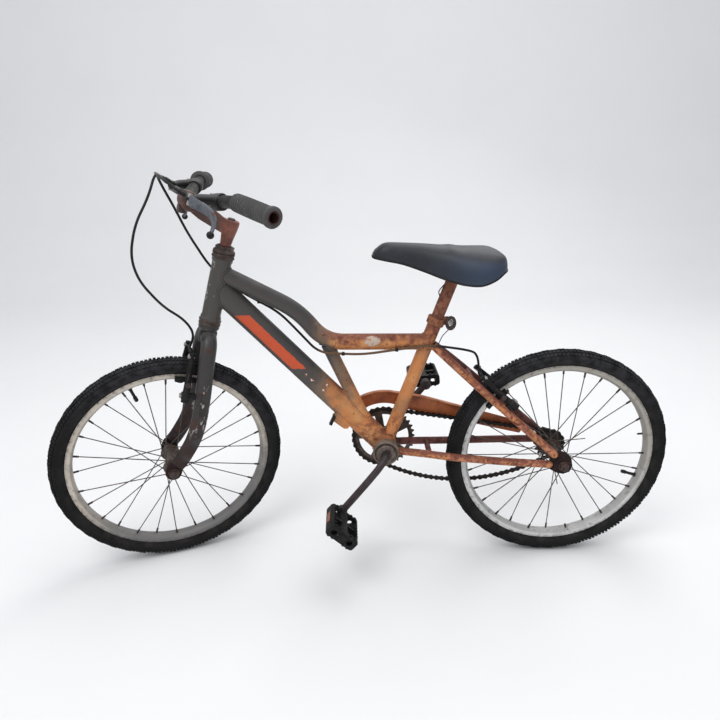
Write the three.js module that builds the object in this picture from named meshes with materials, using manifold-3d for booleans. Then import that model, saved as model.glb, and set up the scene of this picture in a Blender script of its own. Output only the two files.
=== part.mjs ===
// A worn child's bicycle with 20-inch wheels, in millimetres, +Z up, facing -X, drive side on +Y.
// It is drawn with the rear axle over x = 0 and the ground at z = 0, then moved so that
// the origin lies on top of the saddle, where the rider sits.
import * as THREE from "three";
import { mergeVertices } from "three/addons/utils/BufferGeometryUtils.js";
import Module from "manifold-3d";

const wasm = await Module();
wasm.setup();

const DEG = Math.PI / 180;
const GAP = 0.35; // left between pieces that touch

// Driving dimensions: wheels
const WHEEL_R = 245; // to the tips of the tyre's lugs
const TYRE_HALF_W = 22;
const RIM_R = 212; // outer edge of the rim's walls
const RIM_HALF_W = 13;
const SPOKES = 28;
const SPOKE_R = 1.1;
const WHEEL_SIDES = 45; // and lugs on each side of a tyre

// Driving dimensions: frame, as [x, z] points in the middle plane
const AXLE_Z = WHEEL_R;
const BB = [-380, 268]; // bottom bracket
const HEAD = [-722.5, 623.5]; // middle of the head tube
const HEAD_ANGLE = 74.5 * DEG;
const HEAD_HALF = 75; // with the bearing cups
const SEAT_ANGLE = 70.5 * DEG;
const SEAT_TUBE_TOP_Z = 562;
const SADDLE_TOP = [-265, 708];
const TUBE_R = { head: 19, top: 17, strut: 13.5, seat: 14.5, chainStay: 8.2, seatStay: 8.2, bb: 26 };
const DOWN_TUBE = { halfTall: 25, halfWide: 18 };

// Driving dimensions: steering
const RAKE = 22;
const STEER_REST = 20.5 * DEG; // turned to the left, as it stands
const STEM_TURN = 2.5 * DEG; // the stem has slipped a little further round
const BAR_TILT = -3 * DEG;
const BAR_CLAMP = [-84, 160]; // [x, z] in the steering frame
const BAR_R = 11.1;
const GRIP_R = 16;

// Driving dimensions: drive
const PITCH = 12.7;
const RING_TEETH = 34;
const COG_TEETH = 16;
const CHAIN_Y = 45;
const CHAIN_SAG = 58;
const TOOTH_THICK = 2.2;
const CRANK_LENGTH = 148;
const CRANK_ANGLE = -49.7 * DEG; // the left arm points forward and down
const PEDAL_Y = 138;
const pitchRadius = (teeth) => PITCH / 2 / Math.sin(Math.PI / teeth);

const COLOURS = {
  rubber: { color: 0x1d1c1c, roughness: 0.9, metalness: 0 },
  rim: { color: 0x9c968d, roughness: 0.55, metalness: 0.7 },
  spoke: { color: 0x4a4038, roughness: 0.6, metalness: 0.7 },
  dark_paint: { color: 0x37312f, roughness: 0.55, metalness: 0.2 },
  copper_paint: { color: 0xa0522d, roughness: 0.55, metalness: 0.25 },
  rust: { color: 0x6e3826, roughness: 0.85, metalness: 0.3 },
  black_plastic: { color: 0x222122, roughness: 0.6, metalness: 0 },
  dark_steel: { color: 0x3a332f, roughness: 0.6, metalness: 0.7 },
  grey_metal: { color: 0x5b6064, roughness: 0.5, metalness: 0.6 },
  grip: { color: 0x4b4a4a, roughness: 0.85, metalness: 0 },
  vinyl: { color: 0x232a33, roughness: 0.45, metalness: 0 },
};
const materials = {};
for (const [name, look] of Object.entries(COLOURS)) {
  materials[name] = new THREE.MeshStandardMaterial({ name, ...look });
}

// Solids

function clean(geometry) {
  const bare = new THREE.BufferGeometry();
  bare.setAttribute("position", geometry.getAttribute("position").clone());
  if (geometry.index) bare.setIndex(geometry.index.clone());
  const merged = mergeVertices(bare, 1e-3);
  const index = merged.index.array;
  const kept = [];
  for (let i = 0; i < index.length; i += 3) {
    const [a, b, c] = [index[i], index[i + 1], index[i + 2]];
    if (a !== b && b !== c && c !== a) kept.push(a, b, c);
  }
  merged.setIndex(kept);
  return volume(merged) < 0 ? turnedOut(merged) : merged;
}

function volume(geometry) {
  const p = geometry.getAttribute("position");
  const [a, b, c] = [new THREE.Vector3(), new THREE.Vector3(), new THREE.Vector3()];
  let sum = 0;
  for (let i = 0; i < geometry.index.count; i += 3) {
    a.fromBufferAttribute(p, geometry.index.getX(i));
    b.fromBufferAttribute(p, geometry.index.getX(i + 1));
    c.fromBufferAttribute(p, geometry.index.getX(i + 2));
    sum += a.dot(b.cross(c)) / 6;
  }
  return sum;
}

function turnedOut(geometry) {
  const index = Array.from(geometry.index.array);
  for (let i = 0; i < index.length; i += 3) [index[i], index[i + 1]] = [index[i + 1], index[i]];
  geometry.setIndex(index);
  return geometry;
}

function solid(geometry) {
  const g = clean(geometry);
  const vertProperties = new Float32Array(g.getAttribute("position").array);
  const triVerts = new Uint32Array(g.index.array);
  return new wasm.Manifold(new wasm.Mesh({ numProp: 3, vertProperties, triVerts }));
}

function geometryOf(manifold) {
  const mesh = manifold.getMesh();
  const geometry = new THREE.BufferGeometry();
  geometry.setAttribute("position", new THREE.BufferAttribute(new Float32Array(mesh.vertProperties), 3));
  geometry.setIndex(Array.from(mesh.triVerts));
  return geometry;
}

const join = (...pieces) => geometryOf(pieces.map(solid).reduce((a, b) => a.add(b)));
const cut = (piece, ...tools) => geometryOf(tools.map(solid).reduce((a, b) => a.subtract(b), solid(piece)));

// Shapes

const v = (x, y, z) => new THREE.Vector3(x, y, z);
const mirrored = (points, side) => points.map(([x, y, z]) => v(x, y * side, z));

// Rings of points joined into a closed skin, with flat ends or as a loop.
function loft(rings, loop = false) {
  const sides = rings[0].length;
  const positions = rings.flat().flatMap((p) => [p.x, p.y, p.z]);
  const index = [];
  const spans = loop ? rings.length : rings.length - 1;
  for (let i = 0; i < spans; i++) {
    const [near, far] = [i * sides, ((i + 1) % rings.length) * sides];
    for (let k = 0; k < sides; k++) {
      const next = (k + 1) % sides;
      index.push(near + k, near + next, far + next, near + k, far + next, far + k);
    }
  }
  if (!loop) {
    const last = (rings.length - 1) * sides;
    for (const [base, flip] of [[0, true], [last, false]]) {
      const flat = rings[base / sides];
      const outline = flatOutline(flat);
      for (const [a, b, c] of THREE.ShapeUtils.triangulateShape(outline, [])) {
        index.push(base + a, base + (flip ? c : b), base + (flip ? b : c));
      }
    }
  }
  const geometry = new THREE.BufferGeometry();
  geometry.setAttribute("position", new THREE.Float32BufferAttribute(positions, 3));
  geometry.setIndex(index);
  return geometry;
}

// A ring's points in its own plane, for filling its end.
function flatOutline(ring) {
  const u = ring[1].clone().sub(ring[0]).normalize();
  const normal = v(0, 0, 0);
  ring.forEach((p, i) => normal.add(p.clone().cross(ring[(i + 1) % ring.length])));
  normal.normalize();
  const w = normal.clone().cross(u);
  return ring.map((p) => new THREE.Vector2(p.dot(u), p.dot(w)));
}

// Points along straight runs with round bends of the given length either side of each corner.
function bent(corners, reach, steps = 4) {
  const points = [corners[0]];
  for (let i = 1; i < corners.length - 1; i++) {
    const [a, b, c] = [corners[i - 1], corners[i], corners[i + 1]];
    const before = Math.min(reach, a.distanceTo(b) * 0.48);
    const after = Math.min(reach, b.distanceTo(c) * 0.48);
    const start = b.clone().lerp(a, before / a.distanceTo(b));
    const end = b.clone().lerp(c, after / b.distanceTo(c));
    points.push(...new THREE.QuadraticBezierCurve3(start, b, end).getPoints(steps));
  }
  points.push(corners[corners.length - 1]);
  return points;
}

// A bar along points: each ring lies square to the run, and its outline comes from section(t).
function sweep(points, section) {
  let side = null;
  const rings = points.map((p, i) => {
    const before = points[Math.max(i - 1, 0)];
    const after = points[Math.min(i + 1, points.length - 1)];
    const along = after.clone().sub(before).normalize();
    if (!side) side = Math.abs(along.y) > 0.8 ? v(0, 0, 1) : v(0, 1, 0);
    side = side.clone().addScaledVector(along, -side.dot(along)).normalize();
    const up = along.clone().cross(side);
    const outline = section(i / (points.length - 1));
    return outline.map(([a, b]) => p.clone().addScaledVector(side, a).addScaledVector(up, b));
  });
  return loft(rings);
}

const oval = (a, b, sides) => {
  const turn = Math.PI / sides;
  return Array.from({ length: sides }, (_, k) => {
    const angle = (2 * Math.PI * k) / sides + turn;
    return [a * Math.cos(angle), b * Math.sin(angle)];
  });
};
const tube = (points, r, sides = 12) => sweep(points, () => oval(r, r, sides));

// A turned piece: profile as [radius, y] pairs round the Y axis.
function turned(profile, sides) {
  const points = profile.map(([r, y]) => new THREE.Vector2(r, y));
  const open = profile[0][0] === 0;
  if (!open) points.push(points[0].clone());
  return new THREE.LatheGeometry(points, sides);
}
const mirrorProfile = (half) => [...half.map(([r, y]) => [r, -y]).reverse(), ...half];

// A flat outline of [x, z] points with holes, standing in the XZ plane from y0 to y1.
function plate(outline, y0, y1, holes = []) {
  const shape = new THREE.Shape(outline.map(([x, z]) => new THREE.Vector2(x, z)));
  for (const hole of holes) shape.holes.push(new THREE.Path(hole.map(([x, z]) => new THREE.Vector2(x, z))));
  const geometry = new THREE.ExtrudeGeometry(shape, { depth: y1 - y0, bevelEnabled: false });
  return geometry.rotateX(Math.PI / 2).translate(0, y1, 0);
}

const circle = (x, z, r, sides) => oval(r, r, sides).map(([a, b]) => [x + a, z + b]);
const arc = (x, z, r, from, to, steps) =>
  Array.from({ length: steps + 1 }, (_, i) => {
    const angle = from + ((to - from) * i) / steps;
    return [x + r * Math.cos(angle), z + r * Math.sin(angle)];
  });

function box(x0, x1, y0, y1, z0, z1) {
  const geometry = new THREE.BoxGeometry(x1 - x0, y1 - y0, z1 - z0);
  return geometry.translate((x0 + x1) / 2, (y0 + y1) / 2, (z0 + z1) / 2);
}

// Scene graph

const bicycle = new THREE.Group();
const bike = new THREE.Group();
bike.position.set(-SADDLE_TOP[0], 0, -SADDLE_TOP[1]);
bicycle.add(bike);

function add(parent, name, geometry, material) {
  const mesh = new THREE.Mesh(clean(geometry), materials[material]);
  mesh.name = name;
  parent.add(mesh);
  return mesh;
}

// The steering frame: its origin is the middle of the head tube and its Z axis the steering axis.
const steering = new THREE.Group();
steering.position.set(HEAD[0], 0, HEAD[1]);
steering.rotation.set(0, Math.PI / 2 - HEAD_ANGLE, STEER_REST);
bike.add(steering);
const cockpit = new THREE.Group();
cockpit.rotation.set(0, 0, STEM_TURN);
steering.add(cockpit);
const bar = new THREE.Group();
bar.position.set(BAR_CLAMP[0], 0, BAR_CLAMP[1]);
bar.rotation.set(BAR_TILT, 0, 0);
cockpit.add(bar);

// The front wheel leans as it turns, so its axle comes a little lower to reach the ground.
const lean = Math.asin(Math.cos(HEAD_ANGLE) * Math.sin(STEER_REST));
const frontAxleZ = (WHEEL_R - TYRE_HALF_W) * Math.cos(lean) + TYRE_HALF_W;
const rakeRise = RAKE * Math.cos(HEAD_ANGLE) * Math.cos(STEER_REST);
const AXLE_DROP = (HEAD[1] + rakeRise - frontAxleZ) / Math.sin(HEAD_ANGLE);
const frontWheel = new THREE.Group();
frontWheel.position.set(-RAKE, 0, -AXLE_DROP);
steering.add(frontWheel);
const rearWheel = new THREE.Group();
rearWheel.position.set(0, 0, AXLE_Z);
bike.add(rearWheel);
const cranks = new THREE.Group();
cranks.position.set(BB[0], 0, BB[1]);
cranks.rotation.set(0, Math.PI / 2 + CRANK_ANGLE, 0);
bike.add(cranks);

// Wheels

const TYRE_SHOULDER = [230.5, TYRE_HALF_W - 0.4];
const TYRE_CROWN = [241.5, 0];
const TYRE_HALF = [
  [RIM_R - 9 + GAP, 10.9],
  [RIM_R + 1, 11.2],
  [219.5, 20.2],
  TYRE_SHOULDER,
  TYRE_CROWN,
];
// Lugs: where each stands on its facet, round the tyre and from crown to shoulder, its height and taper
const LUG = { round: [0.07, 0.49], across: [0.1, 0.82], height: 4.6, taper: 0.85 };
const RIM_HALF = [
  [RIM_R - 15, 7],
  [RIM_R - 10, RIM_HALF_W],
  [RIM_R, RIM_HALF_W],
  [RIM_R, RIM_HALF_W - 1.6],
  [RIM_R - 9, RIM_HALF_W - 1.6],
];
const HUB_BORE_R = 6.4;
const FLANGE = { r: 20, y: 29, half: 1.6 };
const SPOKE_END_R = RIM_R - 16;
const CROSS = 2; // hub holes that a spoke leans past

const ringProfile = (half) => [...half, ...half.map(([r, y]) => [r, -y]).reverse()];

// A facet of the tread with a lug standing on it; lugs on the two sides are staggered.
function lugFacet(corners, fromCrown) {
  const [c0, c1, c2, c3] = corners;
  const out = c1.clone().sub(c0).cross(c3.clone().sub(c0)).normalize();
  if (out.dot(v(c0.x, 0, c0.z)) < 0) out.negate();
  const range = ([low, high]) => (fromCrown ? [low, high] : [1 - high, 1 - low]);
  const [u0, u1] = range(LUG.round);
  const [a0, a1] = range(LUG.across);
  const loop = (level, share) =>
    [[-1, -1], [1, -1], [1, 1], [-1, 1]].map(([du, da]) => {
      const u = (u0 + u1 + du * share * (u1 - u0)) / 2;
      const a = (a0 + a1 + da * share * (a1 - a0)) / 2;
      const near = c0.clone().lerp(c1, u);
      return near.lerp(c3.clone().lerp(c2, u), a).addScaledVector(out, level);
    });
  const [base, top] = [loop(0, 1), loop(LUG.height, LUG.taper)];
  const quads = [top];
  for (let k = 0; k < 4; k++) {
    const next = (k + 1) % 4;
    quads.push([corners[k], corners[next], base[next], base[k]], [base[k], base[next], top[next], top[k]]);
  }
  return quads;
}

function tyre() {
  const profile = ringProfile(TYRE_HALF);
  const at = ([r, y], step) => {
    const angle = (2 * Math.PI * step) / WHEEL_SIDES;
    return v(r * Math.sin(angle), y, r * Math.cos(angle));
  };
  const quads = [];
  for (let i = 0; i < WHEEL_SIDES; i++) {
    profile.forEach((p, k) => {
      const q = profile[(k + 1) % profile.length];
      const corners = [at(p, i), at(p, i + 1), at(q, i + 1), at(q, i)];
      const [fromCrown, toCrown] = [p[0] === TYRE_CROWN[0], q[0] === TYRE_CROWN[0]];
      quads.push(...(fromCrown !== toCrown ? lugFacet(corners, fromCrown) : [corners]));
    });
  }
  const geometry = new THREE.BufferGeometry();
  return geometry.setFromPoints(quads.flatMap(([a, b, c, d]) => [a, b, c, a, c, d]));
}

function hubAndSpokes(ends, missing) {
  const shell = [
    [HUB_BORE_R, ends.left],
    [13, ends.left],
    [13, -FLANGE.y - 6],
    [FLANGE.r, -FLANGE.y - FLANGE.half],
    [FLANGE.r, -FLANGE.y + FLANGE.half],
    [10.5, -FLANGE.y + 5],
    [10.5, FLANGE.y - 5],
    [FLANGE.r, FLANGE.y - FLANGE.half],
    [FLANGE.r, FLANGE.y + FLANGE.half],
    [13, FLANGE.y + 6],
    [13, ends.right],
    [HUB_BORE_R, ends.right],
  ];
  const pieces = [turned(shell, 14)];
  const perSide = SPOKES / 2;
  for (let i = 0; i < SPOKES; i++) {
    const side = i % 2 ? 1 : -1;
    const hole = Math.floor(i / 2) + (side > 0 ? 0.5 : 0);
    const lean = Math.floor(i / 2) % 2 ? 1 : -1;
    const from = (2 * Math.PI * hole) / perSide;
    const to = (2 * Math.PI * (hole + lean * CROSS)) / perSide;
    const reach = missing[i] ?? 1;
    const holeR = FLANGE.r - 3;
    const start = v(holeR * Math.cos(from), side * FLANGE.y + lean * 1.5, holeR * Math.sin(from));
    const end = v(SPOKE_END_R * Math.cos(to), side * 4, SPOKE_END_R * Math.sin(to));
    pieces.push(tube([start, start.clone().lerp(end, reach)], SPOKE_R, 4));
  }
  return join(...pieces);
}

// Lengths that are left of broken spokes, by spoke number.
const BROKEN_REAR = { 5: 0.35, 18: 0.3 };
const wheels = [
  // [group, name, hub's ends, broken spokes]
  [frontWheel, "front", { left: -44.5, right: 44.5 }, {}],
  [rearWheel, "rear", { left: -46, right: 38 }, BROKEN_REAR],
];
const COG_BODY = { from: 38 + GAP, to: 50, r: 17 }; // the freewheel, beside the rear hub
for (const [group, name, ends, broken] of wheels) {
  add(group, name + "_tyre", tyre(), "rubber");
  add(group, name + "_rim", turned(ringProfile(RIM_HALF), WHEEL_SIDES), "rim");
  add(group, name + "_hub_and_spokes", hubAndSpokes(ends, broken), "spoke");
}

// Axles with their nuts, fixed in the fork and frame

const AXLE_R = 4.75;
const CONE_R = 5.9;
const NUT_R = 9;
function axle(hubEnds, dropout, plateThick, end) {
  const half = (at) => [
    [CONE_R, at - GAP],
    [CONE_R, at + GAP],
    [NUT_R - 0.5, at + GAP],
    [NUT_R - 0.5, dropout - GAP],
    [AXLE_R, dropout - GAP],
    [AXLE_R, dropout + plateThick + GAP],
    [NUT_R, dropout + plateThick + GAP],
    [NUT_R, dropout + plateThick + 9],
    [AXLE_R, dropout + plateThick + 9],
    [AXLE_R, end],
    [0, end],
  ];
  return turned([...half(-hubEnds.left).map(([r, y]) => [r, -y]).reverse(), ...half(hubEnds.right)], 8);
}
const DROPOUT = { front: 50, rear: 55, thick: 5 };
const AXLE_END = { front: 72, rear: 78 };
const frontAxle = axle(wheels[0][2], DROPOUT.front, DROPOUT.thick, AXLE_END.front);
add(steering, "front_axle", frontAxle.translate(-RAKE, 0, -AXLE_DROP), "dark_steel");
const rearEnds = { left: wheels[1][2].left, right: COG_BODY.to };
const rearAxle = axle(rearEnds, DROPOUT.rear, DROPOUT.thick, AXLE_END.rear);
add(bike, "rear_axle", rearAxle.translate(0, 0, AXLE_Z), "dark_steel");

// Main frame

const flat = (points) => points.map(([x, z]) => v(x, 0, z));
const onSeatTube = (z) => [BB[0] + (z - BB[1]) / Math.tan(SEAT_ANGLE), z];
const alongHead = (d) => [HEAD[0] + d * Math.cos(HEAD_ANGLE), HEAD[1] + d * Math.sin(HEAD_ANGLE)];

const HEAD_PROFILE = mirrorProfile([
  [TUBE_R.head, HEAD_HALF - 18],
  [22.5, HEAD_HALF - 9],
  [21.5, HEAD_HALF],
  [15.5, HEAD_HALF],
]);
const headTube = turned(HEAD_PROFILE, 16).rotateX(Math.PI / 2);
headTube.rotateY(Math.PI / 2 - HEAD_ANGLE).translate(HEAD[0], 0, HEAD[1]);
add(bike, "head_tube", headTube, "dark_paint");
const headCore = tube(flat([alongHead(-HEAD_HALF), alongHead(HEAD_HALF)]), TUBE_R.head + GAP, 20);

const TOP_TUBE_CORNERS = [alongHead(34), [-562, 578], [-508, 510], onSeatTube(509)];
const topTubeLine = bent(flat(TOP_TUBE_CORNERS), 40, 4);
const DOWN_TUBE_LINE = flat([alongHead(4), [BB[0], BB[1] + 4]]);
const STRUT_LINE = flat([[-503, 505], [-424, 331]]);
const SEAT_TUBE_LINE = flat([BB, onSeatTube(SEAT_TUBE_TOP_Z)]);

const grown = 2 * GAP;
const topTubeCore = tube(topTubeLine, TUBE_R.top + grown, 14);
const downTubeAt = (extra) =>
  sweep(DOWN_TUBE_LINE, () => oval(DOWN_TUBE.halfWide + extra, DOWN_TUBE.halfTall + extra, 18));
const bbCoreProfile = [
  [0, -60],
  [TUBE_R.bb + GAP, -60],
  [TUBE_R.bb + GAP, 60],
  [0, 60],
];
const bbCore = turned(bbCoreProfile, 20).translate(BB[0], 0, BB[1]);
const seatTubeCore = tube(SEAT_TUBE_LINE, TUBE_R.seat + GAP, 16);

const POST_R = 12.7;
const POST_DEPTH = 90;
const seatBoreLine = flat([onSeatTube(SEAT_TUBE_TOP_Z - POST_DEPTH), onSeatTube(SEAT_TUBE_TOP_Z + 20)]);
const seatBore = tube(seatBoreLine, POST_R + GAP, 16);
add(bike, "seat_tube", cut(tube(SEAT_TUBE_LINE, TUBE_R.seat, 16), bbCore, seatBore), "copper_paint");
add(bike, "top_tube", cut(tube(topTubeLine, TUBE_R.top, 14), headCore, seatTubeCore), "dark_paint");
add(bike, "down_tube", cut(downTubeAt(0), headCore, topTubeCore, bbCore, seatTubeCore), "dark_paint");
add(bike, "strut_tube", cut(tube(STRUT_LINE, TUBE_R.strut), topTubeCore, downTubeAt(grown)), "copper_paint");

const BB_HALF = 37;
const BB_BORE_R = 16.4;
const BB_PROFILE = ringProfile([
  [BB_BORE_R, BB_HALF],
  [28.5, BB_HALF],
  [28.5, BB_HALF - 4],
  [TUBE_R.bb, BB_HALF - 5.5],
]);
add(bike, "bottom_bracket_shell", turned(BB_PROFILE, 20).translate(BB[0], 0, BB[1]), "copper_paint");

// Stays, left and right: corners for the side where y is positive
const CHAIN_STAY = [
  [BB[0] + 10, 21, 268],
  [-309, 29.5, 265],
  [-235, 41, 259],
  [-120, 54, 254],
  [-33.2, 60.5, 251],
];
const SEAT_STAY = [
  [-283, 8, 502],
  [-240, 26, 465],
  [-195, 37, 425],
  [-150, 44, 385],
  [-23.8, 60.5, 274.2],
];
const DROPOUT_OUTLINE = [
  [-32, 240],
  [-32, 262],
  [-14, 282],
  [3, 276],
  [15, 263],
  [19, 245],
  [14, 231],
  [0, 226],
  [-16, 230],
];
const sides = [
  [-1, "left"],
  [1, "right"],
];
const stayCores = { seat: {}, chain: {} };
for (const [side, name] of sides) {
  const chainStayLine = bent(mirrored(CHAIN_STAY, side), 30, 2);
  const chainStay = tube(chainStayLine, TUBE_R.chainStay, 10);
  add(bike, "chain_stay_" + name, cut(chainStay, bbCore), "copper_paint");
  const seatStayLine = bent(mirrored(SEAT_STAY, side), 30, 2);
  const middle = side > 0 ? box(-400, 0, -50, GAP, 300, 700) : box(-400, 0, -GAP, 50, 300, 700);
  const seatStay = tube(seatStayLine, TUBE_R.seatStay, 10);
  add(bike, "seat_stay_" + name, cut(seatStay, seatTubeCore, middle, topTubeCore), "copper_paint");
  stayCores.seat[name] = tube(seatStayLine, TUBE_R.seatStay + GAP, 10);
  stayCores.chain[name] = tube(chainStayLine, TUBE_R.chainStay + GAP, 10);
  const inner = DROPOUT.rear;
  const [y0, y1] = side > 0 ? [inner, inner + DROPOUT.thick] : [-inner - DROPOUT.thick, -inner];
  const hole = circle(0, AXLE_Z, AXLE_R + GAP + 0.3, 12);
  add(bike, "rear_dropout_" + name, plate(DROPOUT_OUTLINE, y0, y1, [hole]), "copper_paint");
}
const BRIDGES = [
  // [stays, x, z, half length, radius]
  ["chain", -285, 263, 30, 6],
  ["seat", -203, 433, 34, 6.5],
];
for (const [stays, x, z, half, r] of BRIDGES) {
  const rod = tube([v(x, -half, z), v(x, half, z)], r, 10);
  add(bike, stays + "_stay_bridge", cut(rod, stayCores[stays].left, stayCores[stays].right), "copper_paint");
}

// Seat post, clamp, rails and saddle

const COLLAR = { z0: 546, z1: 561, r: 18.5 };
const EAR = { from: 8, to: 30, halfWide: 8, halfTall: 7 };
const CLAMP_BOLT = { at: 25, half: 16, r: 5 };
const collarRing = tube(flat([onSeatTube(COLLAR.z0), onSeatTube(COLLAR.z1)]), COLLAR.r, 16);
const [collarX, collarZ] = onSeatTube((COLLAR.z0 + COLLAR.z1) / 2);
const [earLow, earHigh] = [collarZ - EAR.halfTall, collarZ + EAR.halfTall];
const collarEar = box(collarX + EAR.from, collarX + EAR.to, -EAR.halfWide, EAR.halfWide, earLow, earHigh);
const boltX = collarX + CLAMP_BOLT.at;
const boltLine = [v(boltX, -CLAMP_BOLT.half, collarZ), v(boltX, CLAMP_BOLT.half, collarZ)];
const collarBolt = tube(boltLine, CLAMP_BOLT.r, 10);
const collarSlot = box(collarX, collarX + EAR.to + 10, -1, 1, collarZ + 1, earHigh + 20);
const collarBoreLine = flat([onSeatTube(COLLAR.z0 - 40), onSeatTube(COLLAR.z1 + 40)]);
const collarBore = tube(collarBoreLine, TUBE_R.seat + GAP, 16);
const seatClampSolid = cut(join(collarRing, collarEar, collarBolt), collarBore, collarSlot);
add(bike, "seat_clamp", seatClampSolid, "black_plastic");

const POST_TOP_Z = 660;
const postLine = flat([onSeatTube(SEAT_TUBE_TOP_Z - POST_DEPTH + 2), onSeatTube(POST_TOP_Z)]);
add(bike, "seat_post", tube(postLine, POST_R, 16), "rust");

const [postX] = onSeatTube(POST_TOP_Z);
const RAIL = { y: 21, r: 3.5, z: 662 };
const RAIL_TIE = { x: -345, half: 9, z: 685 };
const RAIL_CORNERS = [
  [RAIL_TIE.x, 8, RAIL_TIE.z],
  [-325, 14, 668],
  [-298, RAIL.y, RAIL.z],
  [-222, RAIL.y, RAIL.z],
  [-195, RAIL.y, 668],
];
const CLAMP = { halfX: 22, halfY: 27, below: 9, above: 7 };
const railLine = (side) => bent(mirrored(RAIL_CORNERS, side), 16, 2);
const tieLine = (half) => [v(RAIL_TIE.x, -half, RAIL_TIE.z), v(RAIL_TIE.x, half, RAIL_TIE.z)];
const clampBlock = box(
  postX - CLAMP.halfX,
  postX + CLAMP.halfX,
  -CLAMP.halfY,
  CLAMP.halfY,
  RAIL.z - CLAMP.below,
  RAIL.z + CLAMP.above,
);
const postCore = tube(flat([onSeatTube(600), onSeatTube(POST_TOP_Z + 1)]), POST_R + GAP, 16);
const rails = sides.map(([side]) => tube(railLine(side), RAIL.r, 6));
const railTie = tube(tieLine(RAIL_TIE.half), RAIL.r, 6);
add(bike, "saddle_rails", cut(join(clampBlock, railTie, ...rails), postCore), "rust");

// Saddle stations from nose to tail: x, half width, top, height of the side's lower edge
const SADDLE = [
  [-410, 10, 693, 687],
  [-402, 19, 703, 685],
  [-385, 25, 713, 682],
  [-350, 28, 713, 675],
  [-310, 36, 711, 662],
  [-275, 49, SADDLE_TOP[1], 650],
  [-255, 58, SADDLE_TOP[1], 645],
  [-235, 67, 705, 641],
  [-205, 76, 704, 641],
  [-180, 77, 703, 651],
  [-163, 69, 698, 663],
  [-153, 52, 692, 667],
];
// Half a cross-section: share of the half width, share of the height from the edge to the top
const SADDLE_SECTION = [
  [0, 1],
  [0.45, 0.98],
  [0.75, 0.86],
  [0.93, 0.6],
  [1, 0.28],
  [0.96, 0],
  [0.6, 0.22],
  [0.3, 0.3],
];
function saddle() {
  const rings = SADDLE.map(([x, half, top, edge]) => {
    const right = SADDLE_SECTION.map(([a, b]) => v(x, a * half, edge + b * (top - edge)));
    const left = SADDLE_SECTION.slice(1).reverse().map(([a, b]) => v(x, -a * half, edge + b * (top - edge)));
    return [...right, ...left];
  });
  return loft(rings);
}
const railCores = sides.map(([side]) => tube(railLine(side), RAIL.r + GAP, 6));
const tieCore = tube(tieLine(RAIL_TIE.half + 1), RAIL.r + GAP, 6);
const clampRoom = box(
  postX - CLAMP.halfX - 1,
  postX + CLAMP.halfX + 1,
  -CLAMP.halfY - 1,
  CLAMP.halfY + 1,
  RAIL.z - 40,
  RAIL.z + CLAMP.above + GAP,
);
add(bike, "saddle", cut(saddle(), ...railCores, tieCore, clampRoom), "vinyl");

// Drive: chainring, cog, chain, crank, pedals and guard

// A toothed outline; teeth rise a little past the pitch circle.
function toothed(teeth, turn) {
  const r = pitchRadius(teeth);
  const step = (2 * Math.PI) / teeth;
  const outline = [];
  for (let i = 0; i < teeth; i++) {
    for (const [share, offset] of [[-0.35, -3.6], [0, 1.6], [0.35, -3.6]]) {
      const angle = turn + (i + share) * step;
      outline.push([(r + offset) * Math.cos(angle), (r + offset) * Math.sin(angle)]);
    }
  }
  return outline;
}

const RING_ARMS = 5;
const RING_WINDOW = { inner: 26, outer: 56, half: 27 * DEG };
const SPINDLE_R = 11;
const windows = Array.from({ length: RING_ARMS }, (_, i) => {
  const middle = ((i + 0.5) * 2 * Math.PI) / RING_ARMS;
  const { inner, outer, half } = RING_WINDOW;
  return [
    ...arc(0, 0, outer, middle - half, middle + half, 5),
    ...arc(0, 0, inner, middle + half * 0.75, middle - half * 0.75, 3),
  ];
});
const toothY = [CHAIN_Y - TOOTH_THICK / 2, CHAIN_Y + TOOTH_THICK / 2];
const ringHole = circle(0, 0, SPINDLE_R + 1.6, 14);
add(cranks, "chainring", plate(toothed(RING_TEETH, 0), ...toothY, [...windows, ringHole]), "dark_steel");
const cogHole = circle(0, 0, HUB_BORE_R + 2, 16);
const cogPlate = plate(toothed(COG_TEETH, 0), ...toothY, [cogHole]);
const cogBody = turned(
  [
    [HUB_BORE_R, COG_BODY.from],
    [COG_BODY.r, COG_BODY.from],
    [COG_BODY.r, COG_BODY.to],
    [HUB_BORE_R, COG_BODY.to],
  ],
  16,
);
add(rearWheel, "rear_cog", join(cogPlate, cogBody), "dark_steel");

// The chain: round the chainring's front, a slack lower run, round the cog's back, a straight upper run.
function chainLine() {
  const ring = pitchRadius(RING_TEETH);
  const cog = pitchRadius(COG_TEETH);
  const span = Math.hypot(BB[0], AXLE_Z - BB[1]);
  const rise = Math.atan2(BB[1] - AXLE_Z, -BB[0]);
  const open = Math.asin((ring - cog) / span);
  const top = Math.PI / 2 - rise - open;
  const front = arc(BB[0], BB[1], ring, top, top + 190 * DEG, 22);
  const back = arc(0, AXLE_Z, cog, -92 * DEG, top, 12);
  const from = front[front.length - 1];
  const to = back[0];
  const slack = new THREE.CubicBezierCurve(
    new THREE.Vector2(...from),
    new THREE.Vector2(from[0] + 110, from[1] - CHAIN_SAG),
    new THREE.Vector2(to[0] - 130, to[1] - CHAIN_SAG * 1.3),
    new THREE.Vector2(...to),
  );
  const lower = slack.getPoints(20).slice(1, -1).map((p) => [p.x, p.y]);
  return [...front, ...lower, ...back];
}
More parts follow.
